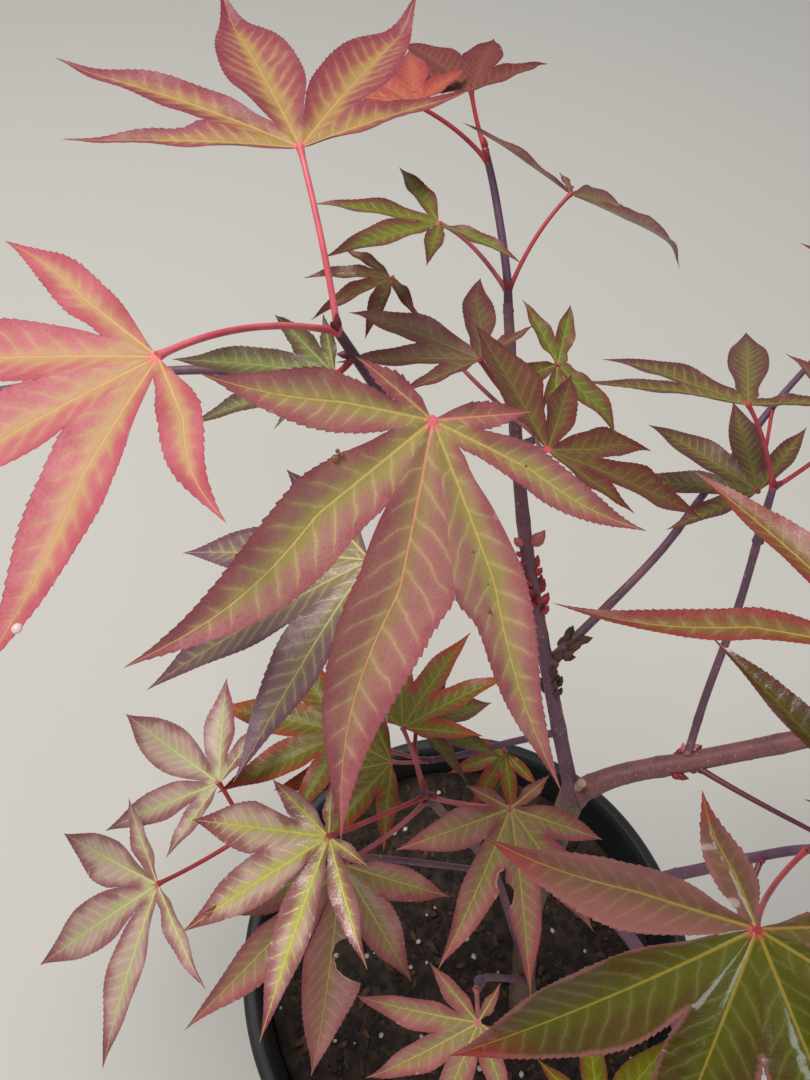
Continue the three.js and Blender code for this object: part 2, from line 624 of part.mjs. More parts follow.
// Grows a mass: the lower nodes of its stem bear side twigs, and every other node an opposite pair
// of leaves. What has no room is tried again a few times and then left out.
function grow(name, { seed, leaf: size }) {
  let count = 0;
  const dice = () => {
    count += 1;
    return chance(seed, count);
  };
  const stem = stems[name];
  const twigs = [{ curve: stem, radius: TWIG, steps: STEM_STEPS }];
  const leaves = [];
  claim(along(stem, 0.1, 1, 8), TWIG + STALK_ROOM);
  const attempt = (make, accept) => {
    for (let i = 0; i < TRIES; i += 1) {
      if (accept(make())) return;
    }
  };
  const pairOfLeaves = (curve, share, turn) => [1, -1].forEach((side) => attempt(
    () => {
      const way = sideways(curve.getTangent(share), side, turn + TURN_SPREAD * (dice() - 0.5));
      return newLeaf(curve.getPoint(share), way, size, dice);
    },
    (leaf) => {
      const blades = bladePoints(leaf);
      const stalks = petiolePoints(leaf);
      if (!mayGrow(name, [...blades, ...stalks])) return false;
      if (!isFree(blades, LEAF_ROOM) || !isFree(stalks, STALK_ROOM)) return false;
      claim(blades, LEAF_ROOM);
      claim(stalks, STALK_ROOM);
      leaves.push(leaf);
      return true;
    },
  ));
  const pairOfTwigs = (share, turn) => [1, -1].forEach((side) => attempt(
    () => {
      const from = stem.getPoint(share);
      const way = sideways(stem.getTangent(share), side, turn + TURN_SPREAD * (dice() - 0.5));
      const tip = from.clone().addScaledVector(way, size * (0.7 + 0.3 * dice()));
      const bow = from.clone().lerp(tip, 0.5).addScaledVector(UP, -0.1 * size);
      return new THREE.QuadraticBezierCurve3(from, bow, tip);
    },
    (curve) => {
      const points = along(curve, 0.25, 1, 5);
      if (!mayGrow(name, points) || !isFree(points, TWIG + STALK_ROOM)) return false;
      claim(points, TWIG + STALK_ROOM);
      twigs.push({ curve, radius: SIDE_TWIG, steps: SIDE_TWIG_STEPS });
      pairOfLeaves(curve, 0.55, turn + Math.PI / 2);
      pairOfLeaves(curve, 1, turn);
      return true;
    },
  ));
  pairOfLeaves(stem, 1, Math.PI / 2);
  pairOfLeaves(stem, 0.78, 0);
  pairOfTwigs(0.34, 0);
  pairOfTwigs(0.58, Math.PI / 2);
  masses[name] = mass(twigs, leaves);
}

Object.entries(GROWN_MASSES).forEach(([name, row]) => grow(name, row));

// Radius of the pot's wall outside, at a height
const potRadius = (height) => POT_FOOT + (POT_MOUTH - POT_FOOT) * height / POT_HEIGHT;

// Turns a closed outline of [radius, height] about the pot's axis
function turned(outline) {
  const points = outline.map(([radius, height]) => new THREE.Vector2(radius, height));
  return solidOf(new THREE.LatheGeometry(points, POT_SIDES).rotateX(Math.PI / 2));
}

// Nursery pot: one thin wall with a rim rolled outwards, and drain holes round its foot
function pot() {
  const rimUnder = POT_HEIGHT - RIM_DROP;
  const rimInside = POT_RIM - POT_WALL;
  const lip = POT_HEIGHT - POT_WALL;
  let solid = turned([
    [0, 0], [POT_FOOT - EDGE, 0], [POT_FOOT, EDGE],
    [potRadius(lip), lip], [rimInside, lip], [rimInside, rimUnder], [POT_RIM, rimUnder],
    [POT_RIM, POT_HEIGHT - EDGE], [POT_RIM - EDGE, POT_HEIGHT], [POT_MOUTH, POT_HEIGHT],
    [potRadius(lip) - POT_WALL, lip - EDGE], [potRadius(POT_FLOOR) - POT_WALL, POT_FLOOR], [0, POT_FLOOR],
  ]);
  for (let i = 0; i < DRAIN_HOLES; i += 1) {
    const hole = new THREE.BoxGeometry(DRAIN_WIDTH, DRAIN_DEPTH, DRAIN_HEIGHT);
    hole.translate(0, POT_FOOT, POT_FLOOR + EDGE + DRAIN_HEIGHT / 2);
    hole.rotateZ(2 * Math.PI * i / DRAIN_HOLES);
    solid = solid.subtract(solidOf(hole));
  }
  return solid;
}

// Potting mix: fills the pot, level about the trunk and a little lower at the wall
function soil() {
  const radius = (height) => potRadius(height) - POT_WALL - 2 * GAP;
  const bottom = POT_FLOOR + GAP;
  return turned([
    [0, bottom], [radius(bottom), bottom],
    [radius(SOIL_EDGE), SOIL_EDGE], [SOIL_CROWN, SOIL_TOP], [0, SOIL_TOP],
  ]);
}

// What each thing looks like: base colour and roughness
const POT_LOOK = [0x17181a, 0.5];
const SOIL_LOOK = [0x2b211b, 0.95];
const BARK_LOOK = [0x6d4a5c, 0.6];
const LEAF_LOOKS = {
  rose: [0xa0686a, 0.45],
  red: [0x8f3d3a, 0.45],
  plum: [0x6b3f4a, 0.45],
  olive: [0x5e5228, 0.4],
  bronze: [0x8a5f45, 0.45],
};

const group = new THREE.Group();

function show(name, solid, [color, roughness]) {
  const material = new THREE.MeshStandardMaterial({ color, roughness, metalness: 0 });
  const mesh = new THREE.Mesh(geometryOf(solid), material);
  mesh.name = name;
  group.add(mesh);
}

show("pot", pot(), POT_LOOK);
show("soil", soil(), SOIL_LOOK);
Object.entries(boughs).forEach(([name, solid]) => show(name, solid, BARK_LOOK));
Object.entries(masses).forEach(([name, solid]) => {
  const { look } = SEEN_MASSES[name] ?? GROWN_MASSES[name];
  show(name, solid, LEAF_LOOKS[look]);
});

export default group;
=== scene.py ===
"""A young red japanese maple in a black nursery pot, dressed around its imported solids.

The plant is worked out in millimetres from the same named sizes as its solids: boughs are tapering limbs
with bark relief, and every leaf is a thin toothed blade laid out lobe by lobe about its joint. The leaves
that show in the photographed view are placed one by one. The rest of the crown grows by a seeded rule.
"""

import logging
import math
from collections.abc import Callable
from dataclasses import dataclass, field
from enum import Enum, IntEnum

import bpy
import numpy as np
from mathutils import Matrix, Vector, noise


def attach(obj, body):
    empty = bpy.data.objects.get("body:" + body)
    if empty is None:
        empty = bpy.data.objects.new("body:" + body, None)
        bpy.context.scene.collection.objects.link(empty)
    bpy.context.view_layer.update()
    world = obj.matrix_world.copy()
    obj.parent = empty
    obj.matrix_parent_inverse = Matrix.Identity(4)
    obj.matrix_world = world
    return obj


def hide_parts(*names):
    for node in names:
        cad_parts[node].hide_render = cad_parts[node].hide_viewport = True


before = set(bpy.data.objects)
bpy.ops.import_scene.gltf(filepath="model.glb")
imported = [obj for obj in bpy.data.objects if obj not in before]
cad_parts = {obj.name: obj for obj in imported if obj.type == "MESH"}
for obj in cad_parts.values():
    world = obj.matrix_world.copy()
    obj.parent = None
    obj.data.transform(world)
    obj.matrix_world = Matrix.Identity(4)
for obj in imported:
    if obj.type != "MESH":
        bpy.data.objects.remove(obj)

log = logging.getLogger("maple")

MM = 0.001
BODY = "root"
UP = np.array([0.0, 0.0, 1.0])

Array = np.ndarray
Point = tuple[float, float, float]
Colour = tuple[float, float, float, float]
RadiusAt = Callable[[float], float]
Relief = Callable[[Array, Array], tuple[Array, Array]]

# Bites out of a leaf: lobe, side (-1 right, 1 left), share of the lobe's length, half length, depth in mm
Bites = tuple[tuple[int, int, float, float, float], ...]

# Lobes from the right-hand edge to the left: bearing off the middle lobe in degrees, length, bend, breadth
Lobes = tuple[tuple[float, ...], ...]
SEVEN_LOBES: Lobes = ((-120, 0.34), (-79, 0.68), (-38, 0.93), (0, 1), (38, 0.93), (79, 0.68), (120, 0.34))
FIVE_LOBES: Lobes = ((-76, 0.68), (-38, 0.92), (0, 1), (38, 0.92), (76, 0.68))


def srgb(red: int, green: int, blue: int) -> Colour:
    """Turns a colour as it is seen on a screen into the linear colour that a shader takes.

    Args:
        red, green, blue: the channels, from 0 to 255.

    Returns:
        The linear channels, from 0 to 1, with full opacity.
    """
    def linear(value: int) -> float:
        """One channel of the colour."""
        share = value / 255
        return share / 12.92 if share <= 0.04045 else ((share + 0.055) / 1.055) ** 2.4
    return (linear(red), linear(green), linear(blue), 1.0)


def unit(vector: Array) -> Array:
    """The vector at a length of one."""
    return vector / np.linalg.norm(vector)


def rotated(vector: Array, axis: Array, angle: float) -> Array:
    """The vector turned about a unit axis by an angle in radians."""
    return (vector * math.cos(angle) + np.cross(axis, vector) * math.sin(angle)
            + axis * np.dot(axis, vector) * (1 - math.cos(angle)))


def smooth_step(values: Array, low: float, high: float) -> Array:
    """Rises smoothly from 0 at low to 1 at high."""
    share = np.clip((values - low) / (high - low), 0, 1)
    return share * share * (3 - 2 * share)


def chance(seed: float, count: int) -> float:
    """A repeatable number from 0 to 1."""
    value = math.sin(seed * 12.9898 + count * 78.233) * 43758.5453
    return value - math.floor(value)


def linked(name: str, data: bpy.types.ID | None) -> bpy.types.Object:
    """Puts a new object into the scene.

    Args:
        name: its name.
        data: its mesh, lamp or camera.

    Returns:
        The object.
    """
    made = bpy.data.objects.new(name, data)
    bpy.context.collection.objects.link(made)
    return made


def circle(count: int) -> list[tuple[float, float]]:
    """Evenly spread points of a circle whose radius is one."""
    return [(math.cos(2 * math.pi * i / count), math.sin(2 * math.pi * i / count)) for i in range(count)]


class Dice:
    """Deals out repeatable numbers from 0 to 1, one after the other."""

    def __init__(self, seed: float) -> None:
        """Starts at the seed's first number."""
        self.seed = seed
        self.count = 0

    def __call__(self) -> float:
        """The next number."""
        self.count += 1
        return chance(self.seed, self.count)


@dataclass(frozen=True)
class PhotographView:
    """The photograph's view: where its lens was, how it was turned, and its size in pixels."""

    lens: Point = (-50.0, -58.0, 655.0)
    focal: float = 811.0
    width: int = 810
    height: int = 1080
    pitch: float = math.radians(56)
    roll: float = math.radians(5.24)
    margin: float = 25.0

    @property
    def ahead(self) -> Array:
        """The way the lens looks."""
        return np.array([0.0, math.cos(self.pitch), -math.sin(self.pitch)])

    @property
    def right(self) -> Array:
        """Rightwards in the picture."""
        return rotated(np.array([1.0, 0.0, 0.0]), self.ahead, -self.roll)

    @property
    def above(self) -> Array:
        """Upwards in the picture."""
        return np.cross(self.right, self.ahead)

    def place(self, seen: Point) -> Array:
        """Turns a place in the picture into a place in the model.

        Args:
            seen: pixels across, pixels down, and depth in millimetres.

        Returns:
            The place in millimetres.
        """
        across, down, depth = seen
        return (np.array(self.lens) + self.ahead * depth
                + self.right * (across - self.width / 2) / self.focal * depth
                + self.above * (self.height / 2 - down) / self.focal * depth)

    def shows(self, points: Array) -> Array:
        """Tells which points lie inside the picture, or outside it by no more than the margin in pixels.

        Args:
            points: places in millimetres, one to a row.

        Returns:
            True or False for each point.
        """
        offset = points - np.array(self.lens)
        depth = offset @ self.ahead
        safe = np.where(depth > 0, depth, 1.0)
        across = self.width / 2 + self.focal * (offset @ self.right) / safe
        down = self.height / 2 - self.focal * (offset @ self.above) / safe
        inside = (across > -self.margin) & (across < self.width + self.margin)
        inside &= (down > -self.margin) & (down < self.height + self.margin)
        return inside & (depth > 0)


VIEW = PhotographView()


class Curve:
    """A curve that is read at shares from 0 to 1."""

    def at(self, share: float) -> Array:
        """The point at a share of the curve."""
        raise NotImplementedError

    def tangent(self, share: float) -> Array:
        """The way the curve runs at a share of it."""
        step = 0.0001
        return unit(self.at(min(1.0, share + step)) - self.at(max(0.0, share - step)))

    def along(self, start: float, end: float, count: int) -> Array:
        """Evenly spread points from one share of the curve to another."""
        return np.array([self.at(start + (end - start) * i / (count - 1)) for i in range(count)])

    def length(self) -> float:
        """The curve's length in millimetres."""
        return float(np.linalg.norm(np.diff(self.along(0, 1, 40), axis=0), axis=1).sum())


class Spline(Curve):
    """A smooth curve through points: a centripetal Catmull-Rom spline."""

    def __init__(self, points: list[Point] | Array) -> None:
        """Takes the points that the curve runs through."""
        self.points = np.array(points, dtype=float)

    def at(self, share: float) -> Array:
        """Finds a point of the curve.

        Args:
            share: how far along it lies, from 0 to 1.

        Returns:
            The point in millimetres.
        """
        points = self.points
        last = len(points) - 1
        span = min(int(last * share), last - 1)
        weight = last * share - span
        before = points[span - 1] if span > 0 else 2 * points[0] - points[1]
        after = points[span + 2] if span + 2 <= last else 2 * points[last] - points[last - 1]
        ends = [before, points[span], points[span + 1], after]
        gaps = [math.sqrt(np.linalg.norm(ends[i + 1] - ends[i])) for i in range(3)]
        first = ((ends[1] - ends[0]) / gaps[0] - (ends[2] - ends[0]) / (gaps[0] + gaps[1])
                 + (ends[2] - ends[1]) / gaps[1]) * gaps[1]
        second = ((ends[2] - ends[1]) / gaps[1] - (ends[3] - ends[1]) / (gaps[1] + gaps[2])
                  + (ends[3] - ends[2]) / gaps[2]) * gaps[1]
        square = -3 * ends[1] + 3 * ends[2] - 2 * first - second
        cube = 2 * ends[1] - 2 * ends[2] + first + second
        return ends[1] + weight * (first + weight * (square + weight * cube))


class Bow(Curve):
    """A curve from one place to another that leans towards a third."""

    def __init__(self, start: Array, by: Array, end: Array) -> None:
        """Takes the three places."""
        self.start, self.by, self.end = start, by, end

    def at(self, share: float) -> Array:
        """The point at a share of the curve."""
        rest = 1 - share
        return rest * rest * self.start + 2 * rest * share * self.by + share * share * self.end


class Shade:
    """A node's output, which takes part in Python expressions."""

    def __init__(self, sheet: "Sheet", socket: bpy.types.NodeSocket) -> None:
        """Wraps a node's output."""
        self.sheet = sheet
        self.socket = socket

    def _math(self, operation: str, first: "Shade | float", second: "Shade | float") -> "Shade":
        """One Math node on two values."""
        return self.sheet.node("ShaderNodeMath", {"operation": operation}, {0: first, 1: second})

    def __add__(self, other: "Shade | float") -> "Shade":
        """The sum."""
        return self._math("ADD", self, other)

    __radd__ = __add__

    def __sub__(self, other: "Shade | float") -> "Shade":
        """The difference."""
        return self._math("SUBTRACT", self, other)

    def __rsub__(self, other: float) -> "Shade":
        """The difference from a number."""
        return self._math("SUBTRACT", other, self)

    def __mul__(self, other: "Shade | float") -> "Shade":
        """The product."""
        return self._math("MULTIPLY", self, other)

    __rmul__ = __mul__

    def __truediv__(self, other: "Shade | float") -> "Shade":
        """The quotient."""
        return self._math("DIVIDE", self, other)

    def __abs__(self) -> "Shade":
        """The value without its sign."""
        return self._math("ABSOLUTE", self, 0.0)

    def ping_pong(self, scale: float) -> "Shade":
        """The distance to the nearest even multiple of the scale."""
        return self._math("PINGPONG", self, scale)

    def rise(self, low: float, high: float) -> "Shade":
        """Rises smoothly from 0 at low to 1 at high."""
        return self.sheet.node("ShaderNodeMapRange", {"interpolation_type": "SMOOTHSTEP"},
                               {0: self, 1: low, 2: high, 3: 0.0, 4: 1.0})

    def fall(self, low: float, high: float) -> "Shade":
        """Falls smoothly from 1 at low to 0 at high."""
        return 1.0 - self.rise(low, high)


class Sheet:
    """A tree of nodes, and the one way to add to it."""

    def __init__(self, tree: bpy.types.NodeTree) -> None:
        """Takes the tree."""
        self.tree = tree

    def node(self, kind: str, settings: dict, values: dict, output: int | str = 0) -> Shade:
        """Adds a node.

        Args:
            kind: the node's type.
            settings: what is set on the node itself.
            values: values or links of its sockets, by index or name.
            output: the output that is wanted.

        Returns:
            That output.
        """
        made = self.tree.nodes.new(kind)
        for key, value in settings.items():
            setattr(made, key, value)
        for key, value in values.items():
            if isinstance(value, Shade):
                self.tree.links.new(value.socket, made.inputs[key])
            else:
                made.inputs[key].default_value = value
        return Shade(self, made.outputs[output])


class ShaderSheet(Sheet):
    """One material, and the means to build what its surface shows."""

    def __init__(self, name: str, **constants: float | Colour) -> None:
        """Makes the material.

        Args:
            name: the material's name.
            constants: values of the shader's own sockets, with _ for each space in a name.
        """
        self.material = bpy.data.materials.new(name)
        self.material.use_nodes = True
        super().__init__(self.material.node_tree)
        self.shader = self.tree.nodes["Principled BSDF"]
        for key, value in constants.items():
            self.shader.inputs[key.replace("_", " ")].default_value = value

    def place(self) -> Shade:
        """The surface's place on the object, in metres."""
        return self.node("ShaderNodeTexCoord", {}, {}, "Object")

    def pair(self, name: str) -> tuple[Shade, Shade]:
        """The two values that a piece's map of this name holds."""
        spot = self.node("ShaderNodeUVMap", {"uv_map": name}, {})
        return (self.node("ShaderNodeSeparateXYZ", {}, {0: spot}, 0),
                self.node("ShaderNodeSeparateXYZ", {}, {0: spot}, 1))

    def noise(self, place: Shade, scale: float, detail: float = 3.0) -> Shade:
        """Soft noise from 0 to 1, with so many features to the metre."""
        return self.node("ShaderNodeTexNoise", {}, {"Vector": place, "Scale": scale, "Detail": detail}, 0)

    def stretched(self, place: Shade, scale: Point) -> Shade:
        """The place with each axis scaled."""
        return self.node("ShaderNodeMapping", {}, {"Vector": place, "Scale": scale})

    def cell_edges(self, place: Shade, scale: float) -> Shade:
        """The distance to the edges of small cells, as a share of a cell."""
        return self.node("ShaderNodeTexVoronoi", {"feature": "DISTANCE_TO_EDGE"},
                         {"Vector": place, "Scale": scale}, "Distance")

    def cells(self, place: Shade, scale: float) -> Shade:
        """The distance to the middle of the nearest small cell, as a share of a cell."""
        return self.node("ShaderNodeTexVoronoi", {}, {"Vector": place, "Scale": scale}, "Distance")

    def mix(self, share: Shade | float, first: Shade | Colour, second: Shade | Colour) -> Shade:
        """The first colour, turning into the second as the share grows."""
        return self.node("ShaderNodeMix", {"data_type": "RGBA"}, {0: share, 6: first, 7: second}, 2)

    def brighter(self, colour: Shade, factor: Shade | float) -> Shade:
        """The colour times a factor."""
        return self.node("ShaderNodeVectorMath", {"operation": "SCALE"}, {0: colour, 3: factor})

    def feed(self, **inputs: Shade) -> None:
        """Links values to the shader's sockets, with _ for each space in a name."""
        for key, value in inputs.items():
            self.tree.links.new(value.socket, self.shader.inputs[key.replace("_", " ")])

    def bump(self, height: Shade, strength: float, depth_mm: float) -> None:
        """Gives the surface a fine relief."""
        values = {"Strength": strength, "Distance": depth_mm * MM, "Height": height}
        self.feed(Normal=self.node("ShaderNodeBump", {}, values))


@dataclass(frozen=True)
class LeafFinish:
    """How the blades of one tint look. Widths are in millimetres, from the margin or from a rib."""

    margin: Colour
    blade: Colour
    heart: Colour
    rib: Colour
    stalk: "StalkTint"
    margin_width: float = 2.6
    heart_width: float = 3.6
    veins: float = 0.3
    tip: float = 0.5
    roughness: float = 0.42
    coat: float = 0.0
    net: float = 0.05
    rib_width: float = 0.4
    specular: float = 0.45
    point: Colour | None = None

    def material(self, name: str) -> bpy.types.Material:
        """Builds the finish: midribs, soft side veins, a paler heart and a coloured margin.

        Args:
            name: the material's name.

        Returns:
            The material. It reads a piece's four maps, whose distances are in millimetres.
        """
        sheet = ShaderSheet(name, Coat_Weight=self.coat, Coat_Roughness=0.1,
                            Specular_IOR_Level=self.specular)
        aside, vein = sheet.pair("Rib")
        edge, share = sheet.pair("Margin")
        tone, under = sheet.pair("Tone")
        blush, nibbled = sheet.pair("Blush")
        place = sheet.place()
        mottle = sheet.noise(place, 130, 4)
        patches = sheet.noise(place, 340, 3)
        grain = sheet.noise(place, 1500, 2)
        net = sheet.cell_edges(place, 900).fall(0.02, 0.2)
        from_rib = abs(aside)
        rib = (from_rib / (1.15 - share)).fall(0.12, self.rib_width)
        beside = (vein + (patches - 0.5) * 0.3 + (mottle - 0.5) * 0.7).ping_pong(0.5)
        inwards = edge.rise(0.2, 2.6) * from_rib.fall(3.0, 15.0)
        side = (beside.fall(0.0, 0.1) * 0.65 + beside.fall(0.0, 0.26) * 0.35) * inwards
        pale = sheet.mix(0.45, self.rib, srgb(214, 192, 168))
        heart = (from_rib / (1.2 - share) + (mottle - 0.5) * 6.0).fall(0.2, self.heart_width)
        heart = (heart + beside.fall(0.0, 0.42) * (0.15 + patches * 0.5) * inwards) * (1.1 - blush * 0.75)
        margin = (edge + (mottle - 0.5) * 2.2 * self.margin_width).fall(0.1, self.margin_width)
        colour = sheet.mix(heart * share.fall(0.6, 1.0), self.blade, self.heart)
        colour = sheet.mix(margin * 0.8, colour, self.margin)
        colour = sheet.mix(blush * (0.45 + from_rib.rise(0.8, 5.0) * 0.3), colour, self.margin)
        colour = sheet.mix(share.rise(0.66, 1.0) * self.tip, colour, self.point or self.margin)
        colour = sheet.mix(side * self.veins, colour, pale)
        colour = sheet.mix(net * self.net, colour, pale)
        ruddy = blush.rise(0.3, 0.6) * blush.fall(0.8, 0.95) * 0.7
        colour = sheet.mix(rib * 0.8, colour, sheet.mix(ruddy, self.rib, self.stalk.value.colour))
        colour = sheet.mix(share.fall(0.012, 0.045) * 0.8, colour, self.stalk.value.colour)
        colour = sheet.mix(nibbled.rise(0.4, 0.95), colour, srgb(196, 148, 116))
        lit = 0.8 + tone * 0.24 + grain * 0.06 + mottle * 0.16 - edge.fall(0.05, 0.5) * 0.16
        colour = sheet.brighter(colour, lit)
        paler = sheet.mix(0.45, self.blade, srgb(176, 138, 134))
        colour = sheet.mix(under * 0.7, colour, paler)
        sheet.feed(Base_Color=colour,
                   Roughness=self.roughness + (grain - 0.5) * 0.2 + (patches - 0.5) * 0.16)
        sheet.bump(patches * 0.22 + grain * 0.06 - rib * 0.5 - side * 0.3 - net * 0.1, 0.5, 0.3)
        return sheet.material


@dataclass(frozen=True)
class StalkFinish:
    """How petioles and twigs of one tint look."""

    colour: Colour
    shadow: Colour
    roughness: float = 0.4

    def material(self, name: str) -> bpy.types.Material:
        """Builds the finish: a smooth skin, lighter and darker by patches.

        Args:
            name: the material's name.

        Returns:
            The material.
        """
        sheet = ShaderSheet(name)
        place = sheet.place()
        patches = sheet.noise(place, 90, 3)
        grain = sheet.noise(place, 1400, 2)
        colour = sheet.mix(patches.rise(0.35, 0.7), self.colour, self.shadow)
        colour = sheet.brighter(colour, 0.85 + grain * 0.3)
        sheet.feed(Base_Color=colour, Roughness=self.roughness + (grain - 0.5) * 0.2)
        sheet.bump(grain, 0.25, 0.15)
        return sheet.material


@dataclass(frozen=True)
class BarkFinish:
    """How the young bark of a bough looks."""

    colour: Colour
    bloom: Colour
    scar: Colour
    roughness: float = 0.55

    def material(self, name: str) -> bpy.types.Material:
        """Builds the finish: smooth bark with pale pores, streaks and dark rings at its nodes.

        Args:
            name: the material's name.

        Returns:
            The material. It reads how scarred the bark is from the piece's first map.
        """
        sheet = ShaderSheet(name)
        place = sheet.place()
        ring, _ = sheet.pair("Rib")
        patches = sheet.noise(sheet.stretched(place, (1.0, 1.0, 0.35)), 110, 4)
        streaks = sheet.noise(sheet.stretched(place, (1.0, 1.0, 0.08)), 900, 3)
        pores = sheet.cells(sheet.stretched(place, (1.0, 1.0, 0.6)), 420).fall(0.08, 0.2)
        colour = sheet.mix(patches.rise(0.3, 0.75), self.colour, self.bloom)
        colour = sheet.mix(streaks.rise(0.45, 0.8) * 0.45, colour, self.scar)
        colour = sheet.mix(pores * 0.5, colour, srgb(190, 165, 140))
        colour = sheet.mix(ring.rise(0.15, 0.8) * 0.35, colour, self.scar)
        sheet.feed(Base_Color=colour, Roughness=self.roughness + (streaks - 0.5) * 0.3)
        sheet.bump(streaks * 0.5 + pores * 0.6 + patches * 0.2, 0.5, 0.3)
        return sheet.material


class Bark(Enum):
    """The barks of the trunk and boughs."""

    TRUNK = BarkFinish(srgb(96, 78, 68), srgb(128, 104, 84), srgb(58, 42, 40))
    ROSY = BarkFinish(srgb(138, 86, 86), srgb(114, 72, 76), srgb(84, 48, 52))
    PURPLE = BarkFinish(srgb(104, 70, 92), srgb(132, 92, 98), srgb(70, 44, 58))


class Slot(Enum):
    """The material slots of the record."""

    BARK = "bark"
    POT = "pot"
    MIX = "potting_mix"
    ROSE = "leaf_rose"
    RED = "leaf_red"
    PLUM = "leaf_plum"
    BRONZE = "leaf_bronze"
    OLIVE = "leaf_olive"


class StalkTint(Enum):
    """The tints of petioles, buds and twigs."""

    CORAL = StalkFinish(srgb(232, 112, 120), srgb(208, 76, 92))
    RED = StalkFinish(srgb(182, 60, 66), srgb(146, 42, 54))
    PINK = StalkFinish(srgb(205, 110, 112), srgb(165, 80, 90))
    PLUM = StalkFinish(srgb(120, 52, 66), srgb(92, 44, 60), 0.5)
    TWIG = StalkFinish(srgb(104, 70, 96), srgb(76, 52, 74), 0.55)
    BUD = StalkFinish(srgb(150, 40, 48), srgb(84, 34, 44), 0.45)


class Mark(Enum):
    """Small marks on leaves and bark."""

    SCAB = StalkFinish(srgb(96, 62, 46), srgb(150, 92, 52), 0.6)
    DROP = StalkFinish(srgb(232, 206, 200), srgb(214, 164, 158), 0.1)
    CUT_WOOD = StalkFinish(srgb(196, 176, 148), srgb(140, 112, 92), 0.8)
    HUSK = StalkFinish(srgb(98, 64, 54), srgb(60, 42, 38), 0.75)


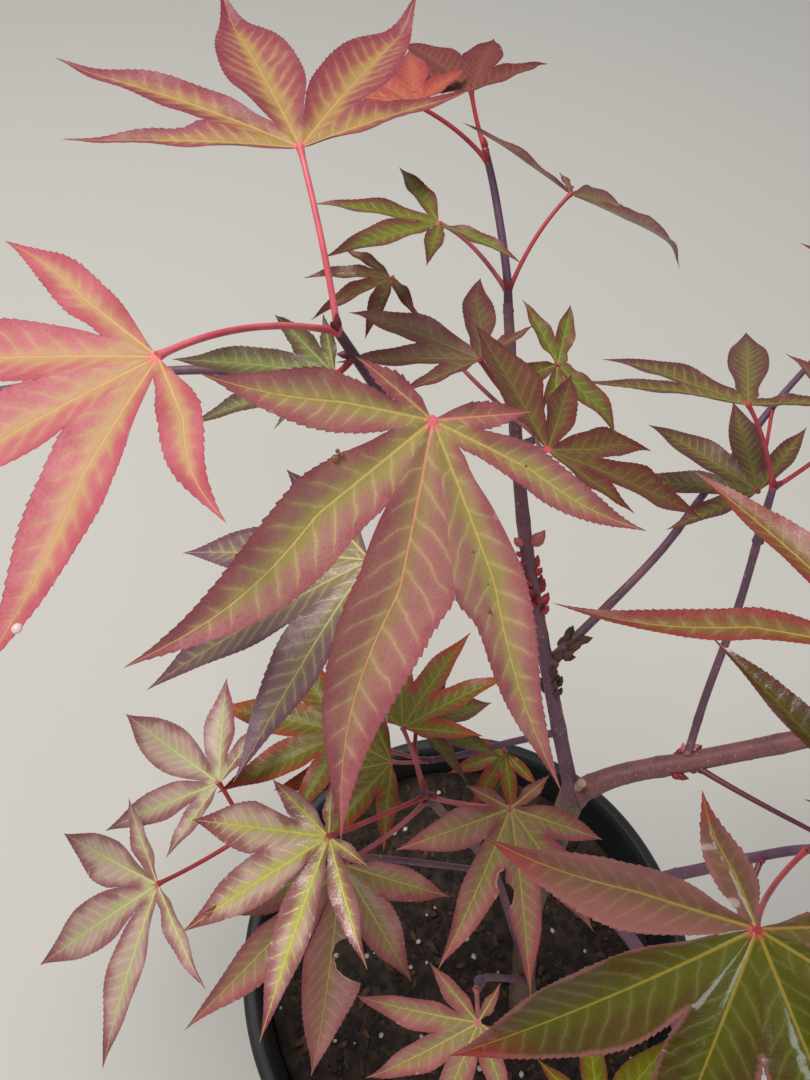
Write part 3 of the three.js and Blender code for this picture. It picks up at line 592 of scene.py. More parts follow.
class LeafTint(Enum):
    """The tints of the leaves, each named for what it looks like."""

    GILDED = LeafFinish(srgb(134, 36, 60), srgb(154, 70, 74), srgb(172, 134, 72), srgb(198, 158, 96),
                        StalkTint.CORAL, margin_width=4.4, heart_width=4.0, veins=0.22, tip=0.95,
                        roughness=0.5)
    CORAL = LeafFinish(srgb(180, 70, 90), srgb(190, 100, 106), srgb(188, 144, 100), srgb(206, 164, 100),
                       StalkTint.CORAL, margin_width=3.0, heart_width=3.6, veins=0.16, roughness=0.56)
    ROSE = LeafFinish(srgb(152, 68, 80), srgb(166, 112, 102), srgb(160, 142, 78), srgb(206, 176, 96),
                      StalkTint.CORAL, margin_width=3.2, heart_width=4.2, veins=0.36, roughness=0.5)
    SLATE = LeafFinish(srgb(116, 68, 94), srgb(136, 102, 104), srgb(148, 134, 92), srgb(210, 198, 144),
                       StalkTint.PLUM, heart_width=3.4, veins=0.42, roughness=0.34)
    FERN = LeafFinish(srgb(88, 52, 46), srgb(84, 80, 44), srgb(110, 116, 54), srgb(150, 150, 88),
                      StalkTint.RED, veins=0.2)
    GREEN_HEART = LeafFinish(srgb(120, 46, 46), srgb(112, 84, 42), srgb(112, 118, 26), srgb(138, 138, 50),
                             StalkTint.PINK, margin_width=2.0, heart_width=4.4, tip=0.9)
    UMBER = LeafFinish(srgb(104, 38, 40), srgb(104, 62, 42), srgb(104, 82, 36), srgb(132, 108, 56),
                       StalkTint.CORAL, veins=0.14, specular=0.3)
    SCARLET = LeafFinish(srgb(158, 48, 52), srgb(170, 64, 56), srgb(178, 84, 56), srgb(190, 100, 80),
                         StalkTint.RED, veins=0.2)
    WINE = LeafFinish(srgb(106, 32, 38), srgb(112, 42, 40), srgb(118, 56, 44), srgb(136, 76, 62),
                      StalkTint.RED, veins=0.16, roughness=0.6, specular=0.3)
    PLUM = LeafFinish(srgb(112, 46, 54), srgb(122, 74, 66), srgb(118, 94, 56), srgb(146, 116, 82),
                      StalkTint.RED, veins=0.18, specular=0.35)
    GARNET = LeafFinish(srgb(112, 38, 44), srgb(120, 60, 52), srgb(112, 98, 50), srgb(134, 98, 66),
                        StalkTint.PINK)
    MOSS = LeafFinish(srgb(118, 58, 44), srgb(110, 92, 40), srgb(108, 116, 30), srgb(142, 140, 60),
                      StalkTint.RED, heart_width=4.6)
    DUSK = LeafFinish(srgb(98, 44, 48), srgb(96, 68, 44), srgb(108, 96, 38), srgb(140, 122, 56),
                      StalkTint.RED, specular=0.35)
    LODEN = LeafFinish(srgb(112, 46, 40), srgb(82, 60, 26), srgb(84, 76, 16), srgb(122, 104, 40),
                       StalkTint.RED, margin_width=1.6, veins=0.14, roughness=0.28, coat=0.35, specular=0.35)
    RUSSET = LeafFinish(srgb(140, 42, 46), srgb(126, 66, 44), srgb(118, 96, 38), srgb(190, 144, 66),
                        StalkTint.RED, veins=0.2)
    BOTTLE = LeafFinish(srgb(146, 90, 88), srgb(72, 56, 2), srgb(78, 80, 1), srgb(154, 132, 48),
                        StalkTint.RED, margin_width=1.2, heart_width=7.0, roughness=0.27, coat=0.4,
                        veins=0.12, net=0.02, rib_width=0.55, tip=0.9, specular=0.1,
                        point=srgb(142, 34, 42))
    # MAUVE: the pale heart is the leaf's own pale green, lightened further by a painted highlight, the whitish
    # sheen of its gloss.
    MAUVE = LeafFinish(srgb(138, 62, 78), srgb(194, 160, 152), srgb(182, 182, 128), srgb(216, 208, 150),
                       StalkTint.RED, margin_width=3.4, heart_width=2.6, veins=0.5, tip=0.95)
    # LIME_VEINED: the pale blade is the leaf's own mauve-pink, lightened further by a painted highlight, the
    # whitish sheen of its gloss.
    LIME_VEINED = LeafFinish(srgb(130, 48, 66), srgb(198, 164, 154), srgb(184, 176, 98), srgb(214, 208, 92),
                             StalkTint.RED, margin_width=3.4, heart_width=2.6, veins=0.65, tip=1.0,
                             roughness=0.26)
    BRONZE = LeafFinish(srgb(152, 68, 76), srgb(168, 112, 100), srgb(148, 130, 76), srgb(200, 174, 98),
                        StalkTint.PINK, veins=0.3)
    AMBER = LeafFinish(srgb(164, 48, 34), srgb(122, 86, 14), srgb(112, 114, 8), srgb(168, 150, 40),
                       StalkTint.PINK, veins=0.24, tip=0.95)
    CITRON = LeafFinish(srgb(150, 78, 44), srgb(132, 126, 16), srgb(138, 142, 14), srgb(188, 190, 70),
                        StalkTint.PLUM, margin_width=1.4, veins=0.3, specular=0.15)


@dataclass(frozen=True)
class SeenLeaf:
    """A leaf that shows in the photographed view.

    Its joint, its tip and the place that its petiole leans towards are given by pixel and depth. Its node is
    the share of the stem where it starts. Roll is in degrees, fold is a slope, and width is a factor. Curls
    in millimetres and shares of blush are given for some of the lobes, by number from the right.
    """

    joint: Point
    tip: Point
    node: float
    tint: LeafTint
    by: Point | None = None
    roll: float = 0.0
    fold: float = 0.3
    width: float = 1.0
    lobes: Lobes = SEVEN_LOBES
    curls: dict[int, float] = field(default_factory=dict)
    blush: dict[int, float] = field(default_factory=dict)
    bites: Bites = ()


@dataclass(frozen=True)
class Limb:
    """A trunk or bough, in millimetres: the points of its course, its radii at the ends, its root flare."""

    points: tuple[Point, ...]
    radii: tuple[float, float]
    bark: Bark = Bark.PURPLE
    flare: float = 0.0

    def radius(self, share: float | Array) -> float | Array:
        """The radius at a share of the limb's length."""
        first, last = self.radii
        return first + (last - first) * share + self.flare * np.exp(-9 * share)


@dataclass(frozen=True)
class SeenMass:
    """Leaves of the photographed view, with the stem that carries them and its slot in the record."""

    slot: Slot
    stem: tuple[Point, ...]
    leaves: tuple[SeenLeaf, ...]


@dataclass(frozen=True)
class GrownMass:
    """A mass beyond the photographed view, grown from a seed along its stem."""

    slot: Slot
    seed: float
    leaf: float
    stem: tuple[Point, ...]
    tints: tuple[LeafTint, ...]


BOUGHS: dict[str, Limb] = {
    "trunk": Limb(((32, -21, 178), (26, -6, 218), (21, 11, 262), (22, 40, 353)),
                  (5.6, 4.9), Bark.TRUNK, flare=4.2),
    "right_limb": Limb(((22, 39, 351), (38, 46, 355), (62, 50, 366), (95, 54, 387), (122, 58, 404)),
                       (4.3, 3), Bark.ROSY),
    "central_stem": Limb(((22, 38, 350), (7, 59, 390), (-12, 86, 445), (-20, 113, 472), (-26, 137, 496)),
                         (2.9, 1.5)),
    "front_bough": Limb(((22, 24, 302), (27, 0, 358), (33, -17, 381), (42, -50, 401), (50, -84, 416)),
                        (2.4, 1.8)),
    "front_right_shoot": Limb(((27, 0, 360), (37, 2, 388), (46, 2, 409), (51, 1, 427)), (1.9, 1.6)),
    "left_stem": Limb(((30, -8, 208), (14, 4, 262), (-8, 9, 350), (-37, 7, 436)), (1.9, 1.3)),
    "left_low_shoot": Limb(((-7, 9, 348), (-38, 2, 384), (-70, -2, 403)), (1.1, 0.9)),
    "low_middle_shoot": Limb(((29, -10, 212), (10, -16, 270), (-8, -24, 340), (-16, -30, 384)), (1.5, 1.1)),
    "upper_left_branch": Limb(((-4, 74, 420), (-28, 82, 462), (-46, 76, 496)), (1.9, 1.5)),
    "diagonal_branch": Limb(((3, 66, 404), (39, 104, 421), (55, 126, 429), (76, 154, 439)), (1.6, 1.2)),
    "right_shoot": Limb(((61, 50, 365), (61, 64, 390), (60, 80, 430), (58, 91, 456)), (1.5, 1.2)),
    "right_riser": Limb(((106, 56, 394), (140, 76, 450), (146, 104, 506)), (2.3, 1.7)),
    "right_front_bough": Limb(((118, 57, 401), (152, 26, 418), (166, -8, 440)), (2.1, 1.6)),
    "front_left_bough": Limb(((44, -62, 405), (22, -96, 420), (-24, -116, 430), (-70, -120, 442)),
                             (1.6, 1.3)),
    "left_high_bough": Limb(((-41, 78, 487), (-55, 80, 501), (-72, 86, 505), (-101, 89, 506),
                             (-136, 84, 503), (-170, 77, 499)), (1.3, 1.1)),
}

SEEN_MASSES: dict[str, SeenMass] = {
    "upper_left_leaves": SeenMass(Slot.ROSE, ((-45.5, 76.2, 494), (-57, 70, 520), (-67, 65, 544)), (
        SeenLeaf((300, 148, 161), (222, 10, 191), 1, LeafTint.GILDED, by=(326, 250, 158), width=1.2,
                 lobes=((-80, 0.71, 0, 0.46), (-45, 1.0, 0, 0.84), (0, 1, 0, 0.9), (42, 1.0, 0, 0.55),
                        (73, 0.76, 0, 0.42)),
                 curls={0: 1.0, 1: 6.0, 2: 4.5, 3: 1.5, 4: 0.5}),
        SeenLeaf((158, 357, 130), (-190, 560, 120), 1, LeafTint.CORAL, by=(245, 312, 140), width=0.95,
                 lobes=((-76, 0.74, -0.02, 0.72), (-37, 0.98, 0, 0.9), (0, 1), (37, 0.97, 0.03, 0.82),
                        (81, 0.6, -0.05, 0.8))),
        SeenLeaf((432, 420, 142), (340, 840, 133), 0.3, LeafTint.ROSE, roll=27,
                 lobes=((-110, 0.24), (-82, 0.56, 0.02, 1.02), (-38, 0.9, 0.04, 0.8), (0, 1, -0.05, 0.9),
                        (35, 1, -0.03, 0.62), (81, 0.68, -0.03, 0.64), (111, 0.27)),
                 blush={0: 0.9, 1: 0.05, 2: 0.1, 3: 0.5, 4: 0.1, 5: 0.05, 6: 0.8}),
        SeenLeaf((370, 560, 182), (145, 690, 186), 0.2, LeafTint.SLATE, roll=-12, lobes=FIVE_LOBES),
        SeenLeaf((335, 375, 172), (172, 360, 190), 0.85, LeafTint.FERN, width=0.72, roll=12,
                 lobes=((-60, 0.4), (-34, 0.6), (0, 1), (30, 0.8), (62, 0.4))),
    )),
    "top_leaves": SeenMass(Slot.RED, ((-25.5, 135.5, 494), (-27, 142, 501), (-33, 160, 516),
                                      (-37, 168.5, 524)), (
        SeenLeaf((439, 224, 232), (329, 256, 214), 0.2, LeafTint.GREEN_HEART, by=(472, 236, 236), width=0.92,
                 lobes=((-105, 0.8), (-40, 0.95), (0, 1.05), (42, 0.6), (110, 0.72))),
        SeenLeaf((571, 194, 234), (690, 258, 254), 0.2, LeafTint.PLUM, by=(532, 232, 236), roll=12,
                 lobes=((0, 1, 0.05, 1.7), (26, 0.66, 0.05, 1.2), (90, 0.3), (166, 0.78, -0.05, 0.8)),
                 curls={0: -4.0, 1: -2.0}),
        SeenLeaf((471, 91, 232), (403, 42, 260), 1, LeafTint.WINE, lobes=FIVE_LOBES, width=1.1),
        SeenLeaf((415, 105, 222), (330, 60, 240), 0.9, LeafTint.SCARLET, by=(462, 128, 229),
                 lobes=FIVE_LOBES),
    )),
    "back_leaves": SeenMass(Slot.PLUM, ((-18.5, 107, 467), (-15, 101, 478), (-15, 99, 487)), (
        SeenLeaf((480, 360, 205), (348, 310, 224), 1, LeafTint.PLUM, width=0.86,
                 lobes=((-106, 0.42), (-57, 0.84, 0.03, 1.05), (0, 1, 0, 1.1), (33, 0.86), (68, 0.55))),
        SeenLeaf((391, 277, 240), (310, 320, 232), 0.6, LeafTint.GARNET, fold=0.6, width=0.8,
                 lobes=FIVE_LOBES),
        SeenLeaf((557, 364, 222), (617, 436, 222), 0.6, LeafTint.MOSS, width=1.1,
                 lobes=((-102, 0.8), (-52, 0.9), (0, 1, 0.05, 1.15), (122, 0.8), (166, 0.8))),
        SeenLeaf((547, 450, 196), (702, 518, 210), 1, LeafTint.UMBER,
                 lobes=((-20, 0.56), (0, 1, 0, 1.1), (24, 0.72, 0.05, 1.1), (78, 0.62, 0, 1.1),
                        (128, 0.8, 0, 1.6))),
    )),
    "right_leaves": SeenMass(Slot.PLUM, ((58.3, 89.5, 453), (57.5, 94, 463), (57, 97, 470)), (
        SeenLeaf((748, 405, 228), (601, 360, 262), 1, LeafTint.DUSK, by=(768, 440, 232), roll=-6, width=0.85,
                 lobes=((-146, 0.5, 0, 1.2), (-58, 0.98, 0, 1.05), (0, 1, -0.03), (18, 0.98, 0.03, 0.7))),
        SeenLeaf((860, 425, 225), (930, 380, 250), 1, LeafTint.PLUM, lobes=FIVE_LOBES),
    )),
    "back_right_leaves": SeenMass(Slot.BRONZE, ((74, 151.5, 438), (83, 163, 444), (96, 178, 452)), (
        SeenLeaf((758, 492, 268), (648, 424, 300), 0.35, LeafTint.DUSK, width=0.9, roll=10,
                 lobes=FIVE_LOBES),
        SeenLeaf((880, 400, 262), (960, 440, 250), 1, LeafTint.BRONZE, lobes=FIVE_LOBES),
        SeenLeaf((900, 300, 270), (930, 220, 300), 1, LeafTint.DUSK, lobes=FIVE_LOBES),
    )),
    "front_right_leaves": SeenMass(Slot.OLIVE, ((50.5, 1.3, 425), (55, -1, 448), (62, -3, 462)), (
        SeenLeaf((757, 928, 155), (645, 1206, 172), 0.6, LeafTint.BOTTLE, roll=-6, by=(757, 895, 178),
                 lobes=((-143, 0.42, 0.03), (-88, 0.76, 0.02, 1.05), (-40, 1.05, 0, 0.95), (0, 1),
                        (38, 0.93), (79, 0.75), (120, 0.4)),
                 blush={0: 1.0, 1: 1.0, 2: 0.05, 3: 0.0, 4: 0.0, 5: 0.1, 6: 0.4}),
        SeenLeaf((900, 655, 170), (691, 469, 203), 1, LeafTint.RUSSET, fold=0.45, width=0.66,
                 lobes=((-80, 0.8), (-38, 0.95), (0, 1), (48, 1.17, 0.04, 0.66), (85, 0.32))),
        SeenLeaf((886, 822, 200), (710, 636, 224), 0.9, LeafTint.LODEN, fold=0.55, width=0.62,
                 lobes=((-76, 0.5), (-38, 0.6), (0, 1), (42, 0.35), (76, 0.3))),
        SeenLeaf((600, 1122, 188), (676, 1034, 192), 0.2, LeafTint.CITRON, by=(690, 1062, 196),
                 lobes=((-110, 0.6), (-60, 0.8), (0, 1, 0, 1.3), (50, 0.9), (95, 0.7))),
    )),
    "left_leaves": SeenMass(Slot.BRONZE, ((-36.5, 7.1, 434), (-37.7, 6.7, 439.3), (-39, 6.5, 443)), (
        SeenLeaf((329, 837, 186), (182, 933, 190), 0.6, LeafTint.LIME_VEINED, roll=-6, by=(385, 815, 203),
                 lobes=((-120, 0.3), (-69, 0.5), (-36, 0.92, 0, 1.2), (0, 1), (43, 1.02, 0, 0.84),
                        (84, 0.68, 0, 0.8), (120, 0.3))),
        SeenLeaf((341, 864, 205), (312, 1078, 203), 0.3, LeafTint.BRONZE, roll=30, by=(392, 838, 214),
                 lobes=((-75, 0.7), (-44, 0.94), (0, 1, 0, 1.25), (38, 0.76), (73, 0.66)),
                 blush={2: 0.4}, bites=((2, 1, 0.45, 5.6, 7.4),)),
        SeenLeaf((403, 728, 232), (471, 631, 250), 0.9, LeafTint.AMBER, lobes=FIVE_LOBES, roll=30),
        SeenLeaf((417, 722, 240), (492, 703, 262), 0.9, LeafTint.MOSS, lobes=FIVE_LOBES),
        SeenLeaf((510, 808, 205), (530, 995, 195), 0.5, LeafTint.BRONZE, roll=21, by=(456, 806, 211),
                 lobes=((-118, 0.34), (-80, 0.77, 0, 1.15), (-36, 0.95, 0, 0.97), (0, 1, 0, 0.9), (33, 0.9),
                        (68, 0.68), (118, 0.34)),
                 bites=((3, -1, 0.47, 2.6, 2.4), (2, 1, 0.42, 2.2, 1.8))),
    )),
    "left_low_leaves": SeenMass(Slot.RED, ((-68, -1.8, 402.5), (-80, -2, 409), (-90, 0, 411)), (
        SeenLeaf((158, 884, 222), (41, 965, 237), 0.9, LeafTint.MAUVE, roll=3,
                 lobes=((-90, 0.5), (-46, 0.79, 0, 1.25), (0, 1, 0, 1.05), (42, 0.98, 0, 0.92),
                        (100, 0.6, 0, 0.8))),
        SeenLeaf((219, 783, 235), (124, 713, 258), 0.9, LeafTint.MAUVE, roll=14,
                 lobes=((-95, 0.5), (-54, 0.72, 0, 1.25), (0, 1, 0, 1.15), (51, 0.84, 0, 1.05), (90, 0.54))),
    )),
    "inner_leaves": SeenMass(Slot.BRONZE, ((12, 53, 376), (-6, 46, 380), (-24, 37, 388), (-36, 31, 396)), (
        SeenLeaf((505, 752, 292), (470, 812, 288), 0.4, LeafTint.AMBER, lobes=FIVE_LOBES),
        SeenLeaf((392, 762, 252), (272, 790, 256), 0.95, LeafTint.AMBER, lobes=FIVE_LOBES),
        SeenLeaf((348, 733, 252), (214, 706, 266), 1, LeafTint.AMBER, lobes=FIVE_LOBES),
    )),
    "low_middle_leaves": SeenMass(Slot.OLIVE, ((-15.7, -29.7, 382), (-17, -32, 389), (-18, -33, 393)), (
        SeenLeaf((478, 1022, 205), (365, 1080, 208), 1, LeafTint.BRONZE, roll=30,
                 lobes=((-148, 0.36), (-82, 0.6), (-40, 0.98), (0, 1), (38, 0.92), (80, 0.7), (120, 0.34))),
    )),
}

GROWN_MASSES: dict[str, GrownMass] = {
    "right_end_leaves": GrownMass(
        Slot.BRONZE, 11, 52, ((120, 57.4, 402.7), (152, 64, 424), (184, 68, 440), (216, 70, 446)),
        (LeafTint.BRONZE, LeafTint.DUSK, LeafTint.MOSS)),
    "right_top_leaves": GrownMass(
        Slot.RED, 5, 54, ((145.9, 103, 504), (148, 118, 530), (146, 134, 562), (132, 144, 590)),
        (LeafTint.SCARLET, LeafTint.GILDED, LeafTint.CORAL)),
    "right_front_leaves": GrownMass(
        Slot.ROSE, 23, 52, ((165.7, -7, 439.4), (172, -36, 456), (172, -68, 466), (164, -100, 470)),
        (LeafTint.ROSE, LeafTint.RUSSET, LeafTint.CORAL)),
    "front_leaves": GrownMass(
        Slot.OLIVE, 31, 50, ((49.8, -83, 415.5), (58, -112, 434), (58, -140, 446), (50, -168, 450)),
        (LeafTint.BOTTLE, LeafTint.LIME_VEINED, LeafTint.BRONZE)),
    "front_left_leaves": GrownMass(
        Slot.PLUM, 47, 50, ((-68.5, -120, 441.7), (-96, -118, 452), (-124, -106, 458), (-150, -92, 458)),
        (LeafTint.MAUVE, LeafTint.PLUM, LeafTint.LIME_VEINED)),
    "left_high_leaves": GrownMass(
        Slot.ROSE, 3, 52, ((-168.1, 77.4, 499.2), (-196, 71, 507), (-218, 59, 511), (-238, 41, 511)),
        (LeafTint.CORAL, LeafTint.ROSE, LeafTint.GILDED)),
}

# The pruned stub's end and the two places of the side twig, by pixel and depth
STUB_END: Point = (582, 783, 297)
SIDE_TWIG: tuple[Point, Point] = ((735, 792, 288), (842, 846, 276))

# Scabs and drops on leaves of the photographed view: leaf, pixels across and down, and size in millimetres
SPECKS: dict[str, dict[Mark, tuple[tuple[int, float, float, float], ...]]] = {
    "upper_left_leaves": {
        Mark.SCAB: ((2, 336, 459, 0.8), (2, 342, 455, 0.5), (2, 338, 451, 0.4), (2, 473, 552, 0.4),
                    (2, 490, 611, 0.45), (2, 488, 584, 0.3), (2, 526, 466, 0.35)),
        Mark.DROP: ((2, 524, 626, 0.8), (2, 376, 391, 0.4), (1, 16, 628, 0.8)),
    },
}


@dataclass(frozen=True)
class Knot:
    """A cluster of buds or scales between two shares of a bough's length, with a size in millimetres."""

    name: str
    tint: StalkTint | Mark
    limb: str
    first: float
    last: float
    count: int
    size: float
    seed: float


KNOTS = (
    Knot("bracts", StalkTint.RED, "central_stem", 0.4, 0.49, 22, 3.0, 4.3),
    Knot("pink_bud", StalkTint.PINK, "central_stem", 0.5, 0.51, 2, 4.4, 2.2),
    Knot("husks", Mark.HUSK, "diagonal_branch", 0.0, 0.08, 16, 3.4, 7.9),
    Knot("stem_husks", Mark.HUSK, "central_stem", 0.255, 0.31, 14, 3.0, 5.5),
    Knot("node_buds", StalkTint.BUD, "right_limb", 0.44, 0.53, 10, 2.8, 3.1),
    Knot("shoot_buds", StalkTint.PINK, "right_shoot", 0.03, 0.1, 3, 2.4, 6.7),
)


@dataclass
class Shape:
    """A closed shape, with the values that its finish reads.

    It has vertices in millimetres, and faces in blocks of triangles or quads, as indices of the vertices.
    Each map holds two values to a vertex. The flat place of a vertex runs from 0 to 1 on its own chart, and
    charts says which chart that is, from 0.
    """

    points: Array
    faces: list[Array]
    maps: dict[str, Array]
    flat: Array
    charts: Array

    @staticmethod
    def joined(parts: list["Shape"]) -> "Shape":
        """Several shapes as one."""
        offsets = np.cumsum([0] + [len(part.points) for part in parts])
        return Shape(
            points=np.concatenate([part.points for part in parts]),
            faces=[block + offset for part, offset in zip(parts, offsets) for block in part.faces],
            maps={name: np.concatenate([part.maps[name] for part in parts]) for name in Batch.MAPS},
            flat=np.concatenate([part.flat for part in parts]),
            charts=np.concatenate([part.charts for part in parts]),
        )


class Batch:
    """Collects the shapes of one piece."""

    MAPS = ("Rib", "Margin", "Tone", "Blush")
    WELDS_PER_MM = 200

    def __init__(self) -> None:
        """Starts empty."""
        self.points: list[Array] = []
        self.faces: list[Array] = []
        self.maps: dict[str, list[Array]] = {name: [] for name in self.MAPS}
        self.charts: list[tuple[int, Array]] = []
        self.count = 0
        self.chart_count = 0

    def add(self, shape: Shape) -> None:
        """Adds a closed shape.

        Args:
            shape: the shape. Those of its vertices that coincide are welded.
        """
        keys = np.round(shape.points * self.WELDS_PER_MM).astype(np.int64)
        _, first, welded = np.unique(keys, axis=0, return_index=True, return_inverse=True)
        welded = welded.reshape(-1)
        self.points.append(shape.points[first])
        for block in (part for whole in shape.faces for part in self.sound(whole, welded)):
            self.faces.append(welded[block] + self.count)
            corners = block.ravel()
            for name in self.MAPS:
                self.maps[name].append(shape.maps[name][corners])
            chart = self.chart_count + shape.charts[block[:, 0]]
            self.charts.append((np.repeat(chart, block.shape[1]), shape.flat[corners]))
        self.count += len(first)
        self.chart_count += int(shape.charts.max()) + 1

    @staticmethod
    def sound(block: Array, welded: Array) -> list[Array]:
        """Drops the faces that welding leaves empty.

        Args:
            block: triangles or quads, as indices of a shape's vertices.
            welded: for each vertex, which one it became.

        Returns:
            The whole faces, and as triangles the quads that are one side short.
        """
        joined = welded[block]
        gone = joined == np.roll(joined, -1, axis=1)
        parts = [block[~gone.any(axis=1)]]
        if block.shape[1] == 4:
            short = gone.sum(axis=1) == 1
            parts += [np.delete(block[short & gone[:, i]], i, axis=1) for i in range(4)]
        return [part for part in parts if len(part)]

    def piece(self, name: str, material: bpy.types.Material) -> bpy.types.Object:
        """Turns what was collected into an object at the origin, in metres.

        Args:
            name: the object's name.
            material: its finish.

        Returns:
            The object, with a flat chart for each face of a shape and the maps that its finish reads.
        """
        mesh = bpy.data.meshes.new(name)
        points = np.concatenate(self.points) * MM
        loops = np.concatenate([block.ravel() for block in self.faces])
        sizes = np.concatenate([np.full(len(block), block.shape[1]) for block in self.faces])
        mesh.vertices.add(len(points))
        mesh.vertices.foreach_set("co", points.ravel())
        mesh.loops.add(len(loops))
        mesh.loops.foreach_set("vertex_index", loops)
        mesh.polygons.add(len(sizes))
        mesh.polygons.foreach_set("loop_start", np.concatenate([[0], np.cumsum(sizes)[:-1]]))
        grid = math.ceil(math.sqrt(self.chart_count))
        numbers = np.concatenate([chart for chart, _ in self.charts])
        flat = np.concatenate([spot for _, spot in self.charts])
        spread = (np.stack([numbers % grid, numbers // grid], axis=1) + 0.03 + flat * 0.94) / grid
        layers = {"OFBake": spread, **{key: np.concatenate(rows) for key, rows in self.maps.items()}}
        for map_name, values in layers.items():
            layer = mesh.uv_layers.new(name=map_name)
            layer.uv.foreach_set("vector", values.astype(np.float32).ravel())
        mesh.update(calc_edges=True)
        mesh.validate()
        mesh.shade_smooth()
        mesh.set_sharp_from_angle(angle=math.radians(60))
        mesh.materials.append(material)
        return linked(name, mesh)


@dataclass
class Leaf:
    """One palmate leaf on its petiole, in millimetres."""

    start: Array
    joint: Array
    tip: Array
    tint: LeafTint
    roll: float = 0.0
    fold: float = 0.3
    arch: float = 0.1
    width: float = 1.0
    lobes: Lobes = SEVEN_LOBES
    by: Array | None = None
    fine: bool = True
    tone: float = 0.5
    curls: dict[int, float] = field(default_factory=dict)
    blush: dict[int, float] = field(default_factory=dict)
    bites: Bites = ()

    def __post_init__(self) -> None:
        """Works out the leaf's own axes: x along the middle lobe, z out of its upper face."""
        self.length = float(np.linalg.norm(self.tip - self.joint))
        self.x = unit(self.tip - self.joint)
        self.z = rotated(unit(UP - self.x * self.x[2]), self.x, -math.radians(self.roll))
        self.y = np.cross(self.z, self.x)

    def bend_and_breadth(self, number: int) -> tuple[float, float]:
        """How far a lobe bends to the side, and the factor on its width."""
        rest = self.lobes[number][2:]
        return (rest[0] if rest else 0.0, rest[1] if len(rest) > 1 else 1.0)

    def breadth(self, number: int) -> float:
        """The factor on a lobe's width."""
        return self.bend_and_breadth(number)[1]

    def on_blade(self, x: Array, y: Array, height: Array) -> Array:
        """Turns places in the leaf's own axes into places in the model."""
        return (self.joint + np.multiply.outer(x, self.x) + np.multiply.outer(y, self.y)
                + np.multiply.outer(height, self.z))

    def under_pixel(self, across: float, down: float) -> Array:
        """Finds the place on the blade that a pixel of the photographed view shows.

        Args:
            across, down: the pixel.

        Returns:
            The place in millimetres.
        """
        lens = np.array(VIEW.lens)
        ray = VIEW.place((across, down, 1.0)) - lens
        height = 0.0
        for _ in range(4):
            spot = lens + ray * np.dot(self.joint + self.z * height - lens, self.z) / np.dot(ray, self.z)
            x, y = np.dot(spot - self.joint, self.x), np.dot(spot - self.joint, self.y)
            bearing = math.degrees(math.atan2(y, x))
            nearest = min(self.lobes, key=lambda lobe: abs(lobe[0] - bearing))
            far = math.hypot(x, y) / self.length
            aside = math.hypot(x, y) * abs(math.sin(math.radians(bearing - nearest[0])))
            height = self.arch * far * (1 - far) * self.length + self.fold * aside
        return spot

    def blade_points(self) -> Array:
        """Spreads points over the blade, which keep other foliage away.

        Returns:
            The points in millimetres.
        """
        bearings = np.radians([lobe[0] for lobe in self.lobes])
        reaches = np.array([lobe[1] for lobe in self.lobes])
        spots = [self.joint]
        for share in (0.3, 0.62, 0.94):
            far = share * reaches
            out = far * self.length
            height = self.arch * far * (1 - far) * self.length
            spots.extend(self.on_blade(out * np.cos(bearings), out * np.sin(bearings), height))
        return np.array(spots)

    def bow(self) -> Bow:
        """Lays the petiole's course.

        Returns:
            The course, which sags or leans towards a given place.
        """
        sag = 0.18 * float(np.linalg.norm(self.joint - self.start))
        middle = self.start + 0.6 * (self.joint - self.start) - self.z * sag
        return Bow(self.start, middle if self.by is None else self.by, self.joint)

    def stalk_points(self) -> Array:
        """Points along the petiole, which keep other foliage away."""
        return self.bow().along(0.35, 0.85, 3)


class Row(IntEnum):
    """What a row of a lobe's vertices is for."""

    SHARED = 0
    TOOTH_FOOT = 1
    TOOTH_POINT = 2
    BITE = 3


